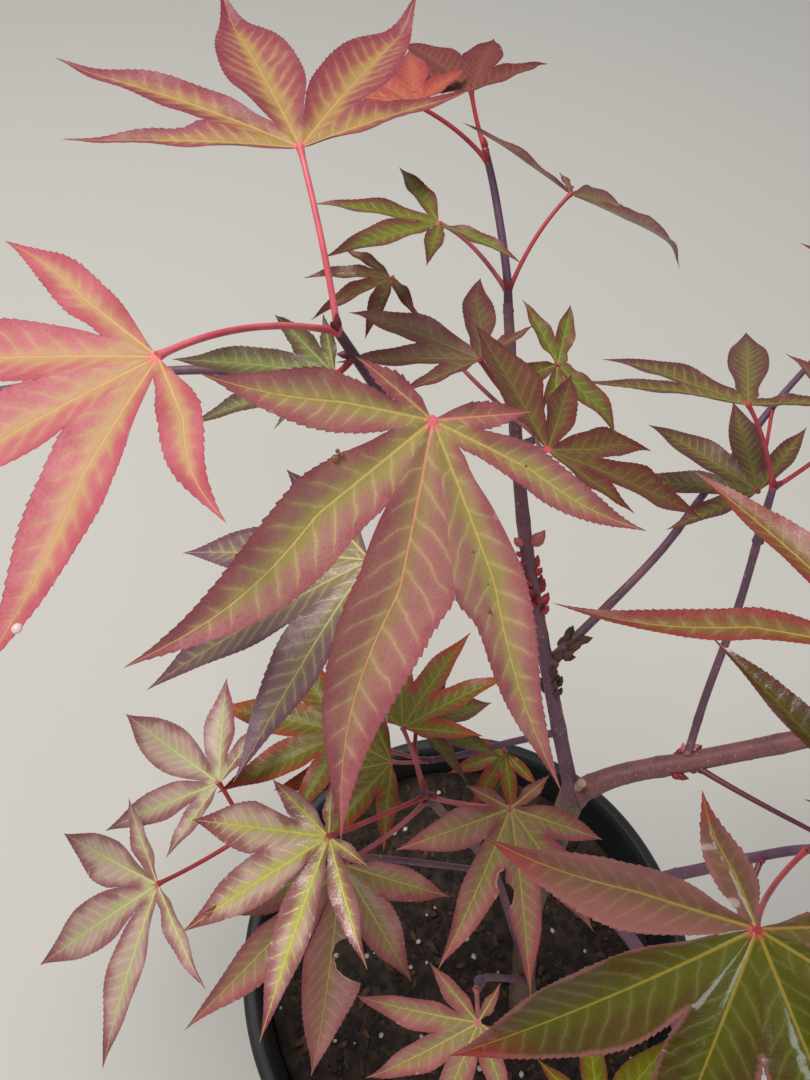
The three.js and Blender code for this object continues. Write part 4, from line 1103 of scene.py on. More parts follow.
class Lobe:
    """One lobe of a blade: rows of vertices outwards from the joint, columns from right edge to left."""

    EDGES = (0, -1)

    def __init__(self, maker: "BladeMaker", leaf: Leaf, number: int, dice: Dice) -> None:
        """Lays the lobe out flat, toothed and nibbled.

        Args:
            maker: holds the blade's proportions.
            leaf: the leaf that the lobe belongs to.
            number: which of its lobes, from the right.
            dice: deals out what differs from lobe to lobe.
        """
        self.maker, self.leaf, self.number, self.dice = maker, leaf, number, dice
        self.bearing, self.reach = leaf.lobes[number][:2]
        self.length = self.reach * leaf.length
        self.step = leaf.length / 34
        self.bites = [bite for bite in leaf.bites if bite[0] == number]
        borders = [self.border(number + step) for step in (-1, 1)]
        self.partings = [parting for _, parting in borders]
        self.radii, self.kinds = self.rows()
        self.share = self.radii / self.length
        near_rib = 1e-9
        self.spread = np.concatenate([np.linspace(-1, -near_rib, maker.columns),
                                      np.linspace(near_rib, 1, maker.columns)])
        inside = self.by_side([self.half_angle(*border) for border in borders])
        angles = self.spread[None, :] * inside
        self.along = self.radii[:, None] * np.cos(angles)
        self.aside = self.radii[:, None] * np.sin(angles)
        self.own = np.maximum(0, (inside - np.abs(angles)) * self.radii[:, None])
        self.cut_teeth()
        self.nibbled = self.nibble()
        spacing = max(3.2, 0.07 * self.length)
        self.vein = ((self.along - 0.75 * np.abs(self.aside) - 0.03 * self.aside ** 2) / spacing
                     + 0.35 + 0.4 * (self.aside > 0))

    def border(self, other: int) -> tuple[float | None, float]:
        """Tells how the lobe borders on the one beside it.

        Args:
            other: that lobe's number, which may lie outside the leaf.

        Returns:
            The angle between their ribs, or None at the leaf's end, and the distance at which they part.
        """
        leaf = self.leaf
        if not 0 <= other < len(leaf.lobes):
            return None, 0.0
        between = math.radians(abs(leaf.lobes[other][0] - self.bearing))
        parting = min(self.maker.parting(between, leaf.width * leaf.breadth(lobe)) * leaf.lobes[lobe][1]
                      for lobe in (self.number, other))
        return between, parting * leaf.length

    def rows(self) -> tuple[Array, Array]:
        """Spaces the rows: shared by all the leaf's lobes near the joint, then two to a tooth.

        Returns:
            The rows' distances from the joint, and what each is for.
        """
        parted = max(self.partings)
        near = [self.step * (i + 1) for i in range(max(1, int(parted / self.step)))]
        toothed = 0.97 * self.length - near[-1]
        count = max(4, round(toothed / self.maker.tooth_pitch))
        pitch = toothed / count
        far = [near[-1] + (i + part) * pitch for i in range(count) for part in (0.14, 0.92)]
        radii = np.array(near + far)
        kinds = np.array([Row.SHARED] * len(near) + [Row.TOOTH_FOOT, Row.TOOTH_POINT] * count)
        for _, _, at, size, _ in self.bites:
            extra = at * self.length + size * np.linspace(-1.15, 1.15, 23)
            extra = extra[extra > parted + 0.2]
            clear = (np.abs(radii - at * self.length) > 1.2 * size) | (kinds == Row.SHARED)
            radii = np.concatenate([radii[clear], extra])
            kinds = np.concatenate([kinds[clear], np.full(len(extra), Row.BITE)])
            order = np.argsort(radii)
            radii, kinds = radii[order], kinds[order]
        return radii, kinds

    def by_side(self, rows: list[Array]) -> Array:
        """Spreads values of the rows over the columns: those for the rib's right side, then for its left."""
        return np.where(self.spread[None, :] < 0, rows[0][:, None], rows[1][:, None])

    def half_angle(self, between: float | None, parting: float) -> Array:
        """Gives the angle from the rib to the lobe's edge on one side.

        Args:
            between: the angle to the next lobe's rib, or None at the leaf's end.
            parting: the distance at which the two lobes part.

        Returns:
            An angle for each row: up to the parting it is shared with the next lobe.
        """
        width = self.leaf.width * self.leaf.breadth(self.number)
        half = self.maker.half_width(self.share, width) * self.length
        angle = np.arcsin(np.minimum(0.999, half / self.radii))
        if between is None:
            return angle
        web = np.exp(-(np.maximum(0, self.radii - parting) / (0.05 * self.length)) ** 2)
        return np.minimum(between / 2, angle + web * (between / 2 - angle))

    def cut_teeth(self) -> None:
        """Moves the free edges in and out, and forwards, to form teeth."""
        taper = np.sin(np.pi * np.clip(self.share, 0, 1)) ** 0.6
        for column, sign, parting in zip(self.EDGES, (-1, 1), self.partings):
            drawn = np.array([0.55 + 0.8 * self.dice() for _ in self.radii])
            sizes = self.maker.tooth * self.leaf.length / 60 * taper * drawn
            free = self.radii > parting
            point = (self.kinds == Row.TOOTH_POINT) & free
            foot = (self.kinds == Row.TOOTH_FOOT) & free
            self.aside[:, column] += sign * sizes * (point - 0.25 * foot)
            self.along[:, column] += 0.9 * sizes * point

    def nibble(self) -> Array:
        """Takes the bites out of the edges.

        Returns:
            For each vertex, 1 on a nibbled edge and 0 elsewhere.
        """
        nibbled = np.zeros(self.along.shape)
        for _, side, at, size, depth in self.bites:
            column = 0 if side < 0 else -1
            bitten = np.sqrt(np.maximum(0, 1 - ((self.radii - at * self.length) / size) ** 2))
            wobble = 1 + 0.05 * np.sin(self.radii * 1.7) + 0.03 * np.sin(self.radii * 4.3)
            room = np.abs(self.aside[:, column])
            kept = np.maximum(0.05, 1 - depth * bitten * wobble / room)
            self.aside[:, self.spread * side > 0] *= kept[:, None]
            nibbled[:, column] = np.maximum(nibbled[:, column], bitten > 0)
        return nibbled

    def heights(self) -> tuple[Array, float]:
        """Lifts the lobe off its plane: arched, folded, puckered between its veins, rippled and curled.

        Returns:
            The height of each vertex, and how high the curl lifts the last row.
        """
        leaf, share = self.leaf, self.share
        far = np.hypot(self.along, self.aside) / leaf.length
        height = leaf.arch * far * (1 - far) * leaf.length + leaf.fold * np.abs(self.aside)
        height -= (self.maker.pucker * np.cos(2 * np.pi * self.vein) * np.minimum(1, self.own / 1.5)
                   * np.minimum(1, np.abs(self.aside) / 1.5))
        ripple = 0.6 * np.sin(2 * np.pi * (share * 2.6 + self.dice()))[:, None]
        loose = self.by_side([smooth_step(self.radii, parting, parting + 0.2 * self.length)
                              for parting in self.partings])
        height += ripple * self.spread[None, :] ** 2 * loose * (1 - share)[:, None] ** 0.5
        curl = leaf.curls.get(self.number, 1.2 * (self.dice() - 0.6)) * smooth_step(share, 0.75, 1.0) ** 2
        return height + curl[:, None], float(curl[-1])

    def thickness(self) -> Array:
        """Thins the blade out.

        Returns:
            The thickness at each vertex: none at a free edge, and less towards the tip.
        """
        thin = np.full(self.along.shape, self.maker.thickness)
        for column, parting in zip(self.EDGES, self.partings):
            thin[self.radii > parting - self.step, column] = 0.0
        return thin * np.minimum(1, 1.3 * (1 - self.share) ** 0.5 + 0.05)[:, None]

    def faces(self) -> list[Array]:
        """Joins the vertices up.

        Returns:
            The faces above and below: quads between the rows, and fans at the tip and the joint.
        """
        rows, columns = self.along.shape
        grid = np.arange(rows * columns).reshape(rows, columns)
        quads = np.stack([grid[:-1, :-1], grid[1:, :-1], grid[1:, 1:], grid[:-1, 1:]], axis=-1)
        quads = quads.reshape(-1, 4)
        tip, joint = rows * columns, rows * columns + 1
        at_tip = np.stack([grid[-1, :-1], np.full(columns - 1, tip), grid[-1, 1:]], axis=-1)
        at_joint = np.stack([np.full(columns - 1, joint), grid[0, :-1], grid[0, 1:]], axis=-1)
        fans = np.concatenate([at_tip, at_joint])
        below = joint + 1
        return [quads, fans, quads[:, ::-1] + below, fans[:, ::-1] + below]

    def maps(self) -> dict[str, Array]:
        """Works out what the finish reads.

        Returns:
            Each map's two values at the vertices above, with the tip and the joint, and again below.
        """
        count = self.along.size + 2
        to_sinus = self.by_side([np.maximum(0, parting - self.radii) for parting in self.partings])
        edge = np.hypot(self.own, to_sinus)
        rib = np.concatenate([np.stack([self.aside.ravel(), self.vein.ravel()], axis=1),
                              [[0.0, self.vein[-1, 0]], [0.0, 0.35]]])
        shares = np.repeat(self.share, self.along.shape[1])
        margin = np.concatenate([np.stack([edge.ravel(), shares], axis=1), [[0.0, 1.0], [3.0, 0.0]]])
        blush = self.leaf.blush.get(self.number, 0.12 * self.dice())
        nibbled = np.concatenate([self.nibbled.ravel(), [0, 0]])
        return {
            "Rib": np.concatenate([rib, rib]),
            "Margin": np.concatenate([margin, margin]),
            "Tone": np.stack([np.full(2 * count, self.leaf.tone), np.repeat([0.0, 1.0], count)], axis=1),
            "Blush": np.stack([np.full(2 * count, blush), np.tile(nibbled, 2)], axis=1),
        }

    def shape(self, widest: float) -> Shape:
        """Turns the lobe into a thin closed shape in its place on the leaf.

        Args:
            widest: the radius that the leaf's flat chart holds.

        Returns:
            The shape: one chart above and one below.
        """
        leaf = self.leaf
        height, tip_curl = self.heights()
        bend, _ = leaf.bend_and_breadth(self.number)
        near = self.maker.sinus_near
        swing = bend * np.sin(np.pi * np.maximum(0, self.share - near) / (1 - near)) * self.length
        across = self.aside + swing[:, None]
        turn = math.radians(self.bearing)
        flat_x = self.along * math.cos(turn) - across * math.sin(turn)
        flat_y = self.along * math.sin(turn) + across * math.cos(turn)
        above = leaf.on_blade(flat_x.ravel(), flat_y.ravel(), height.ravel())
        below = above - self.thickness().ravel()[:, None] * leaf.z
        tip_flat = np.array([[self.length * math.cos(turn), self.length * math.sin(turn)]])
        tip_height = leaf.arch * self.reach * (1 - self.reach) * leaf.length + tip_curl * 1.2
        tip = leaf.on_blade(tip_flat[:, 0], tip_flat[:, 1], np.array([tip_height]))
        joint = leaf.joint[None, :]
        flat = np.concatenate([np.stack([flat_x.ravel(), flat_y.ravel()], axis=1), tip_flat, [[0.0, 0.0]]])
        return Shape(
            points=np.concatenate([above, tip, joint, below, tip, joint]),
            faces=self.faces(),
            maps=self.maps(),
            flat=np.concatenate([flat, flat]) / (2 * widest) + 0.5,
            charts=np.repeat([0, 1], len(flat)),
        )


@dataclass(frozen=True)
class BladeMaker:
    """Makes the blades of leaves. Widths and places of notches are shares of a lobe's length."""

    columns: int
    tooth_pitch: float
    tooth: float = 0.21
    pucker: float = 0.13
    breadth: float = 0.12
    tail: float = 0.008
    taper: float = 1.4
    widest: float = 0.9
    sinus_near: float = 0.42
    sinus_deep: float = 0.13
    thickness: float = 0.3

    def half_width(self, share: Array, width: float) -> Array:
        """Half the width of a lobe at a share of its length, as a share of that length."""
        body = np.sin(np.pi * np.clip(share, 0, 1) ** self.widest) ** self.taper
        return width * (self.breadth * body + self.tail * 4 * share * (1 - share))

    def parting(self, between: float, width: float) -> float:
        """Finds where a lobe parts from a neighbour.

        Args:
            between: the angle between the two lobes' ribs.
            width: the factor on the lobe's width.

        Returns:
            The share of its length where it gets narrower than the angle allows, or the deepest share.
        """
        by_angle = self.sinus_near - 0.05 * (math.degrees(between) - 35)
        shares = np.linspace(self.sinus_deep, self.sinus_near, 30)
        touching = shares[self.half_width(shares, width) > shares * math.sin(between / 2)]
        reached = touching[-1] if len(touching) else self.sinus_deep
        return min(self.sinus_near, max(self.sinus_deep, by_angle, reached))

    def add(self, leaf: Leaf, batch: Batch) -> None:
        """Adds a leaf's blade to a batch.

        Args:
            leaf: the leaf.
            batch: takes the blade, which is made lobe by lobe.
        """
        dice = Dice(leaf.length + 3 * leaf.joint[0])
        widest = max(lobe[1] for lobe in leaf.lobes) * leaf.length * 1.06
        batch.add(Shape.joined([Lobe(self, leaf, number, dice).shape(widest)
                                for number in range(len(leaf.lobes))]))


@dataclass(frozen=True)
class TubeMaker:
    """Makes stalks, twigs and boughs as closed tubes about a curve."""

    sides: int
    ring_gap: float

    def add(self, curve: Curve, radius_at: RadiusAt, batch: Batch, tone: float = 0.5,
            relief: Relief | None = None) -> None:
        """Adds a tube to a batch.

        Args:
            curve: the tube's course.
            radius_at: gives the radius at a share of the course.
            batch: takes the tube.
            tone: how light the tube is, from 0 to 1.
            relief: gives a factor on the radius, and how scarred the bark is, at angles and distances.
        """
        length = curve.length()
        rings = max(4, int(length / self.ring_gap) + 1)
        shares = np.linspace(0, 1, rings)
        centres = curve.along(0, 1, rings)
        tangents = np.gradient(centres, axis=0)
        tangents /= np.linalg.norm(tangents, axis=1)[:, None]
        normal = unit(np.cross(tangents[0], UP if abs(tangents[0][2]) < 0.9 else np.array([1.0, 0.0, 0.0])))
        angles = np.linspace(0, 2 * np.pi, self.sides + 1)
        radii = np.array([radius_at(share) for share in shares])
        swell, scar = (relief(angles[None, :], (shares * length)[:, None]) if relief
                       else (np.ones((rings, len(angles))), np.zeros((rings, len(angles)))))
        points = np.zeros((rings, len(angles), 3))
        for i in range(rings):
            normal = unit(normal - tangents[i] * np.dot(normal, tangents[i]))
            side = np.cross(tangents[i], normal)
            reach = (radii[i] * swell[i])[:, None]
            outwards = np.cos(angles)[:, None] * normal + np.sin(angles)[:, None] * side
            points[i] = centres[i] + reach * outwards
        columns = len(angles)
        grid = np.arange(rings * columns).reshape(rings, columns)
        quads = np.stack([grid[:-1, :-1], grid[:-1, 1:], grid[1:, 1:], grid[1:, :-1]], axis=-1)
        first, last = rings * columns, rings * columns + 1
        caps = np.concatenate([
            np.stack([np.full(columns - 1, first), grid[0, 1:], grid[0, :-1]], axis=-1),
            np.stack([np.full(columns - 1, last), grid[-1, :-1], grid[-1, 1:]], axis=-1),
        ])
        turns = (angles / (2 * np.pi))[None, :]
        flat = np.stack(np.broadcast_arrays(turns, 0.05 + 0.9 * shares[:, None]), axis=-1)
        flat = np.concatenate([flat.reshape(-1, 2), [[0.5, 0.0], [0.5, 1.0]]])
        rib = np.stack(np.broadcast_arrays(scar, (shares * length)[:, None]), axis=-1).reshape(-1, 2)
        rib = np.concatenate([rib, [[0.0, 0.0], [0.0, length]]])
        count = len(flat)
        nothing = np.zeros((count, 2))
        maps = {"Rib": rib, "Margin": nothing, "Tone": nothing + tone, "Blush": nothing}
        everything = np.concatenate([points.reshape(-1, 3), centres[:1], centres[-1:]])
        batch.add(Shape(everything, [quads.reshape(-1, 4), caps], maps, flat, np.zeros(count, dtype=int)))


class Room:
    """Where foliage already is: points with the room they keep about them."""

    def __init__(self) -> None:
        """Starts empty."""
        self.points = np.zeros((0, 3))
        self.rooms = np.zeros(0)

    def claim(self, points: Array, room: float | Array) -> None:
        """Keeps other foliage away from these points."""
        self.points = np.concatenate([self.points, points])
        self.rooms = np.concatenate([self.rooms, np.broadcast_to(room, len(points))])

    def is_free(self, points: Array, room: float) -> bool:
        """Whether all the points, with room about them, are clear of what is there."""
        apart = np.linalg.norm(points[:, None, :] - self.points[None, :, :], axis=2)
        return bool((apart > room + self.rooms[None, :]).all())


@dataclass
class Mass:
    """One mass of foliage: its twigs as curves with radii, and its leaves."""

    slot: Slot
    twigs: list[tuple[Curve, float]]
    leaves: list[Leaf]


@dataclass
class Growth:
    """A mass that is growing, and the dice that deal out its chances."""

    name: str
    mass: Mass
    dice: Dice


@dataclass
class Crown:
    """Places the leaves of the photographed view and grows the masses beyond it by the solids' rule.

    Rooms, reaches and heights are in millimetres.
    """

    leaf_room: float = 7.5
    stalk_room: float = 2.0
    reach: float = 105.0
    lens_clearance: float = 75.0
    lowest: float = 330.0
    tries: int = 5
    twig: float = 1.25
    smaller: float = 0.78

    def __post_init__(self) -> None:
        """Places and grows everything."""
        self.room = Room()
        self.masses: dict[str, Mass] = {}
        self.stems = {name: Spline(row.stem) for name, row in GROWN_MASSES.items()}
        self.stem_spots = {name: stem.along(0, 1, 9) for name, stem in self.stems.items()}
        for limb in BOUGHS.values():
            radii = limb.radius(np.arange(24) / 23)
            self.room.claim(Spline(limb.points).along(0, 1, 24), radii + self.stalk_room)
        for name, row in SEEN_MASSES.items():
            self.masses[name] = self.placed(row)
        for name, row in GROWN_MASSES.items():
            self.masses[name] = self.grown(name, row)
        for name, row in GROWN_MASSES.items():
            self.carry_on(name, row)

    def placed(self, row: SeenMass) -> Mass:
        """Places a mass whose leaves show in the photographed view.

        Args:
            row: its stem and its leaves.

        Returns:
            The mass.
        """
        stem = Spline(row.stem)
        leaves = []
        for number, leaf in enumerate(row.leaves):
            leaves.append(Leaf(
                start=stem.at(leaf.node), joint=VIEW.place(leaf.joint), tip=VIEW.place(leaf.tip),
                tint=leaf.tint, roll=leaf.roll, fold=leaf.fold, width=leaf.width, lobes=leaf.lobes,
                by=VIEW.place(leaf.by) if leaf.by else None, tone=0.35 + 0.3 * chance(leaf.joint[0], number),
                curls=leaf.curls, blush=leaf.blush, bites=leaf.bites,
            ))
        for leaf in leaves:
            self.room.claim(leaf.blade_points(), self.leaf_room)
            self.room.claim(leaf.stalk_points(), self.stalk_room)
        return Mass(row.slot, [(stem, self.twig)], leaves)

    def is_own(self, name: str, points: Array) -> bool:
        """Tells whether points lie in the space of a mass.

        Args:
            name: the mass.
            points: places in millimetres, one to a row.

        Returns:
            True if all of them are within reach of its stem, and nearer to it than to the others'.
        """
        apart = {key: np.linalg.norm(points[:, None] - spots[None], axis=2).min(axis=1)
                 for key, spots in self.stem_spots.items()}
        own = apart[name]
        return bool((own < self.reach).all() and all((own <= other).all() for other in apart.values()))

    def may_grow(self, name: str, points: Array) -> bool:
        """Tells whether foliage may stand somewhere.

        Args:
            name: the mass that it is of.
            points: places in millimetres, one to a row.

        Returns:
            True if they are clear of the lens and the pot, out of the picture, and in the mass's space.
        """
        clear = np.linalg.norm(points - np.array(VIEW.lens), axis=1) > self.lens_clearance
        allowed = clear & (points[:, 2] > self.lowest) & ~VIEW.shows(points)
        return bool(allowed.all()) and self.is_own(name, points)

    @staticmethod
    def sideways(ahead: Array, side: int, turn: float) -> Array:
        """Gives the way that one of an opposite pair sets out.

        Args:
            ahead: the way its twig runs.
            side: 1 or -1.
            turn: how the pair is turned about the twig, in radians.

        Returns:
            The way, ahead and to the side, of length one.
        """
        level = unit(np.cross(ahead, UP))
        lift = np.cross(level, ahead)
        return unit(0.55 * ahead + 0.85 * side * (math.cos(turn) * level + math.sin(turn) * lift))

    @staticmethod
    def new_leaf(start: Array, way: Array, size: float, dice: Dice, tint: LeafTint) -> Leaf:
        """Makes one leaf of a pair: level for the most part, its tip a little lower than its joint.

        Args:
            start: where its petiole sets out.
            way: the way it sets out, of length one.
            size: its size in millimetres.
            dice: deals out what differs from leaf to leaf.
            tint: its tint.

        Returns:
            The leaf, which isn't placed yet.
        """
        joint = start + way * size * (0.5 + 0.3 * dice())
        level = rotated(unit(np.array([way[0], way[1], 0.0])), UP, 0.9 * (dice() - 0.5))
        level = unit(np.array([level[0], level[1], -0.15 - 0.3 * dice()]))
        tip = joint + level * size * (0.85 + 0.25 * dice())
        return Leaf(start=start, joint=joint, tip=tip, tint=tint, roll=40 * (dice() - 0.5), lobes=FIVE_LOBES,
                    fine=False)

    def pair_of_leaves(self, growth: Growth, curve: Curve, share: float, turn: float, size: float) -> None:
        """Grows an opposite pair of leaves where there is room for them.

        Args:
            growth: the mass that takes them.
            curve: the twig that they grow on.
            share: how far along it they grow.
            turn: how the pair is turned about it, in radians.
            size: the leaves' size in millimetres.
        """
        mass, dice = growth.mass, growth.dice
        tints = GROWN_MASSES[growth.name].tints
        for side in (1, -1):
            for _ in range(self.tries):
                way = self.sideways(curve.tangent(share), side, turn + 0.8 * (dice() - 0.5))
                tint = tints[len(mass.leaves) % len(tints)]
                leaf = self.new_leaf(curve.at(share), way, size, dice, tint)
                blade, stalk = leaf.blade_points(), leaf.stalk_points()
                if not self.may_grow(growth.name, np.concatenate([blade, stalk])):
                    continue
                if self.room.is_free(blade, self.leaf_room) and self.room.is_free(stalk, self.stalk_room):
                    self.room.claim(blade, self.leaf_room)
                    self.room.claim(stalk, self.stalk_room)
                    leaf.tone = 0.25 + 0.5 * chance(7, len(mass.leaves))
                    mass.leaves.append(leaf)
                    break

    def pair_of_twigs(self, growth: Growth, curve: Curve, share: float, turn: float, size: float) -> None:
        """Grows an opposite pair of side twigs, each with leaves at its middle and its end.

        Args:
            growth: the mass that takes them.
            curve: the twig that they grow on.
            share: how far along it they grow.
            turn: how the pair is turned about it, in radians.
            size: the twigs' length in millimetres, and their leaves' size.
        """
        dice = growth.dice
        room = self.twig + self.stalk_room
        for side in (1, -1):
            for _ in range(self.tries):
                start = curve.at(share)
                way = self.sideways(curve.tangent(share), side, turn + 0.8 * (dice() - 0.5))
                tip = start + way * size * (0.7 + 0.3 * dice())
                twig = Bow(start, (start + tip) / 2 - UP * 0.1 * size, tip)
                points = twig.along(0.25, 1, 5)
                if self.may_grow(growth.name, points) and self.room.is_free(points, room):
                    self.room.claim(points, room)
                    growth.mass.twigs.append((twig, 0.8 * self.twig))
                    self.pair_of_leaves(growth, twig, 0.55, turn + math.pi / 2, size)
                    self.pair_of_leaves(growth, twig, 1.0, turn, size)
                    break

    def grown(self, name: str, row: GrownMass) -> Mass:
        """Grows a mass: side twigs at the lower nodes of its stem, and opposite pairs of leaves above.

        Args:
            name: the mass.
            row: its seed, its stem, and the size and tints of its leaves.

        Returns:
            The mass, as far as the solids have it.
        """
        stem = self.stems[name]
        growth = Growth(name, Mass(row.slot, [(stem, self.twig)], []), Dice(row.seed))
        self.room.claim(stem.along(0.1, 1, 8), self.twig + self.stalk_room)
        self.pair_of_leaves(growth, stem, 1.0, math.pi / 2, row.leaf)
        self.pair_of_leaves(growth, stem, 0.78, 0.0, row.leaf)
        self.pair_of_twigs(growth, stem, 0.34, 0.0, row.leaf)
        self.pair_of_twigs(growth, stem, 0.58, math.pi / 2, row.leaf)
        return growth.mass

    def carry_on(self, name: str, row: GrownMass) -> None:
        """Carries the rule on within a mass's reach: finer twigs, and smaller leaves between.

        Args:
            name: the mass.
            row: its seed, its stem, and the size and tints of its leaves.
        """
        mass = self.masses[name]
        growth = Growth(name, mass, Dice(row.seed + 0.5))
        small = self.smaller * row.leaf
        for share, turn in ((0.2, math.pi / 4), (0.46, -math.pi / 4), (0.7, math.pi / 4), (0.9, 0.0)):
            self.pair_of_twigs(growth, self.stems[name], share, turn, small)
        for curve, _ in list(mass.twigs):
            for share, turn in ((0.32, 0.0), (0.5, math.pi / 2), (0.72, 0.0), (0.9, math.pi / 2)):
                self.pair_of_leaves(growth, curve, share, turn, small)
        for curve, _ in list(mass.twigs)[1:]:
            self.pair_of_twigs(growth, curve, 0.6, math.pi / 4, self.smaller * small)
        mass.twigs = [twig for twig in mass.twigs if self.bears(mass, twig[0])]

    def bears(self, mass: Mass, curve: Curve) -> bool:
        """Tells whether a leaf or another twig grows on a twig.

        Args:
            mass: the mass that the twig is of.
            curve: the twig.

        Returns:
            True if one does.
        """
        spots = curve.along(0.1, 1, 80)
        starts = [leaf.start for leaf in mass.leaves] + [other.at(0.0) for other, _ in mass.twigs]
        return any(np.linalg.norm(spots - start, axis=1).min() < self.twig for start in starts)


@dataclass
class Foliage:
    """Makes the pieces of each mass: twigs with buds, petioles, and blades of each tint."""

    petiole: float = 0.75
    twig_tube: TubeMaker = TubeMaker(sides=12, ring_gap=1.2)
    stalk_tube: TubeMaker = TubeMaker(sides=10, ring_gap=1.6)
    materials: dict[Enum, bpy.types.Material] = field(default_factory=dict)

    def __post_init__(self) -> None:
        """Chooses how finely the blades are made."""
        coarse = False
        self.seen_blade = BladeMaker(columns=4, tooth_pitch=2.4 if coarse else 1.6)
        self.far_blade = BladeMaker(columns=3, tooth_pitch=4.0 if coarse else 2.4)

    def material(self, tint: LeafTint | StalkTint | Mark) -> bpy.types.Material:
        """The material of a tint, built once."""
        if tint not in self.materials:
            self.materials[tint] = tint.value.material(f"{type(tint).__name__}.{tint.name.lower()}")
        return self.materials[tint]

    def twigs(self, mass: Mass) -> Batch:
        """Makes a mass's twigs, each a little swollen where it starts.

        Args:
            mass: the mass.

        Returns:
            The twigs as one batch.
        """
        batch = Batch()
        for curve, radius in mass.twigs:
            length = curve.length()

            def radius_at(share: float, radius: float = radius, length: float = length) -> float:
                """Tapers, with a collar at the foot."""
                return radius * (1.12 - 0.28 * share + 0.35 * math.exp(-share * length / 1.8))
            self.twig_tube.add(curve, radius_at, batch)
        return batch

    def buds(self, mass: Mass) -> Batch:
        """Makes small pointed buds in the axils of the leaves.

        Args:
            mass: the mass.

        Returns:
            The buds as one batch.
        """
        batch = Batch()
        for leaf in mass.leaves:
            way = unit(leaf.bow().tangent(0.0) + 0.9 * UP)
            start = leaf.start + way * 0.4
            course = Bow(start, start + way * 1.4, start + way * 3.1 + UP * 0.3)
            self.stalk_tube.add(course, self.bud_radius, batch)
        return batch

    @staticmethod
    def bud_radius(share: float) -> float:
        """A bud's radius at a share of its length."""
        return 0.12 + 0.85 * math.sin(math.pi * (0.18 + 0.8 * share)) ** 1.3

    def stalks(self, leaves: list[Leaf]) -> Batch:
        """Makes petioles, thicker at their feet and where they meet the blade.

        Args:
            leaves: the leaves that they carry.

        Returns:
            The petioles as one batch.
        """
        batch = Batch()
        for leaf in leaves:
            course = leaf.bow()
            course.end = leaf.joint + leaf.z * 0.2
            length = course.length()

            def radius_at(share: float, length: float = length) -> float:
                """Slender, with a swollen foot and head."""
                ends = 0.6 * math.exp(-share * length / 1.6), 0.4 * math.exp(-(1 - share) * length / 1.1)
                return self.petiole * (0.92 - 0.12 * share + ends[0] + ends[1])
            self.stalk_tube.add(course, radius_at, batch, leaf.tone)
        return batch

    def hand_over(self, batch: Batch, node: str, kind: str, tint: LeafTint | StalkTint | Mark,
                  slot: Slot = Slot.BARK) -> None:
        """Makes a piece in the tint's material and keeps it in place of the node."""
        keep(batch.piece(f"{node}.{kind}", self.material(tint)), slot, node)

    def dress(self, name: str, mass: Mass) -> None:
        """Makes a mass's pieces in place of its solid.

        Args:
            name: the solid, and the first part of the pieces' names.
            mass: the mass.
        """
        self.hand_over(self.twigs(mass), name, "twigs", StalkTint.TWIG)
        self.hand_over(self.buds(mass), name, "buds", StalkTint.BUD)
        for tint in dict.fromkeys(leaf.tint.value.stalk for leaf in mass.leaves):
            batch = self.stalks([leaf for leaf in mass.leaves if leaf.tint.value.stalk is tint])
            self.hand_over(batch, name, f"stalks_{tint.name.lower()}", tint)
        for tint in dict.fromkeys(leaf.tint for leaf in mass.leaves):
            batch = Batch()
            for leaf in mass.leaves:
                if leaf.tint is tint:
                    (self.seen_blade if leaf.fine else self.far_blade).add(leaf, batch)
            self.hand_over(batch, name, tint.name.lower(), tint, mass.slot)

    def specks(self, name: str, mass: Mass) -> None:
        """Adds the scabs and drops that lie on a mass's leaves.

        Args:
            name: the mass's solid.
            mass: the mass.
        """
        for mark, spots in SPECKS.get(name, {}).items():
            batch = Batch()
            for number, across, down, size in spots:
                leaf = mass.leaves[number]
                spot = leaf.under_pixel(across, down)
                ends = [spot + leaf.z * height for height in (-0.25, 0.12 + 0.2 * size)]

                def dome(share: float, size: float = size) -> float:
                    """Rounds the speck off."""
                    return size * math.sqrt(max(0.03, 1 - share ** 2))
                self.twig_tube.add(Bow(ends[0], (ends[0] + ends[1]) / 2, ends[1]), dome, batch)
            self.hand_over(batch, name, mark.name.lower(), mark, mass.slot)

    def knot(self, knot: Knot) -> None:
        """Adds a cluster of buds or scales to a bough.

        Args:
            knot: the cluster.
        """
        limb = BOUGHS[knot.limb]
        curve = Spline(limb.points)
        batch = Batch()
        dice = Dice(knot.seed)
        for i in range(knot.count):
            share = knot.first + (knot.last - knot.first) * (i + 0.6 * dice()) / knot.count
            ahead = curve.tangent(share)
            out = rotated(unit(np.cross(ahead, UP + 0.1)), ahead, 2 * math.pi * dice())
            big = knot.size * (0.7 + 0.6 * dice())
            start = curve.at(share) + out * (limb.radius(share) - 0.5)
            way = unit(out + (0.2 + 0.9 * dice()) * ahead)

            def scale(at: float, big: float = big) -> float:
                """Swells in the middle and narrows to a point."""
                return 0.1 + 0.42 * big * math.sin(math.pi * (0.2 + 0.78 * at)) ** 1.2
            course = Bow(start, start + way * big * 0.6, start + way * big + ahead * 0.5 * big)
            self.stalk_tube.add(course, scale, batch)
        self.hand_over(batch, knot.limb, knot.name, knot.tint)

    def stub(self) -> None:
        """Adds the pruned stub at the trunk's fork."""
        batch = Batch()
        fork = np.array(BOUGHS["trunk"].points[-1], dtype=float)
        end = VIEW.place(STUB_END)
        self.twig_tube.add(Bow(fork, (fork + end) / 2, end), lambda share: 1.9 - 0.3 * share, batch)
        self.hand_over(batch, "trunk", "stub", Mark.CUT_WOOD)

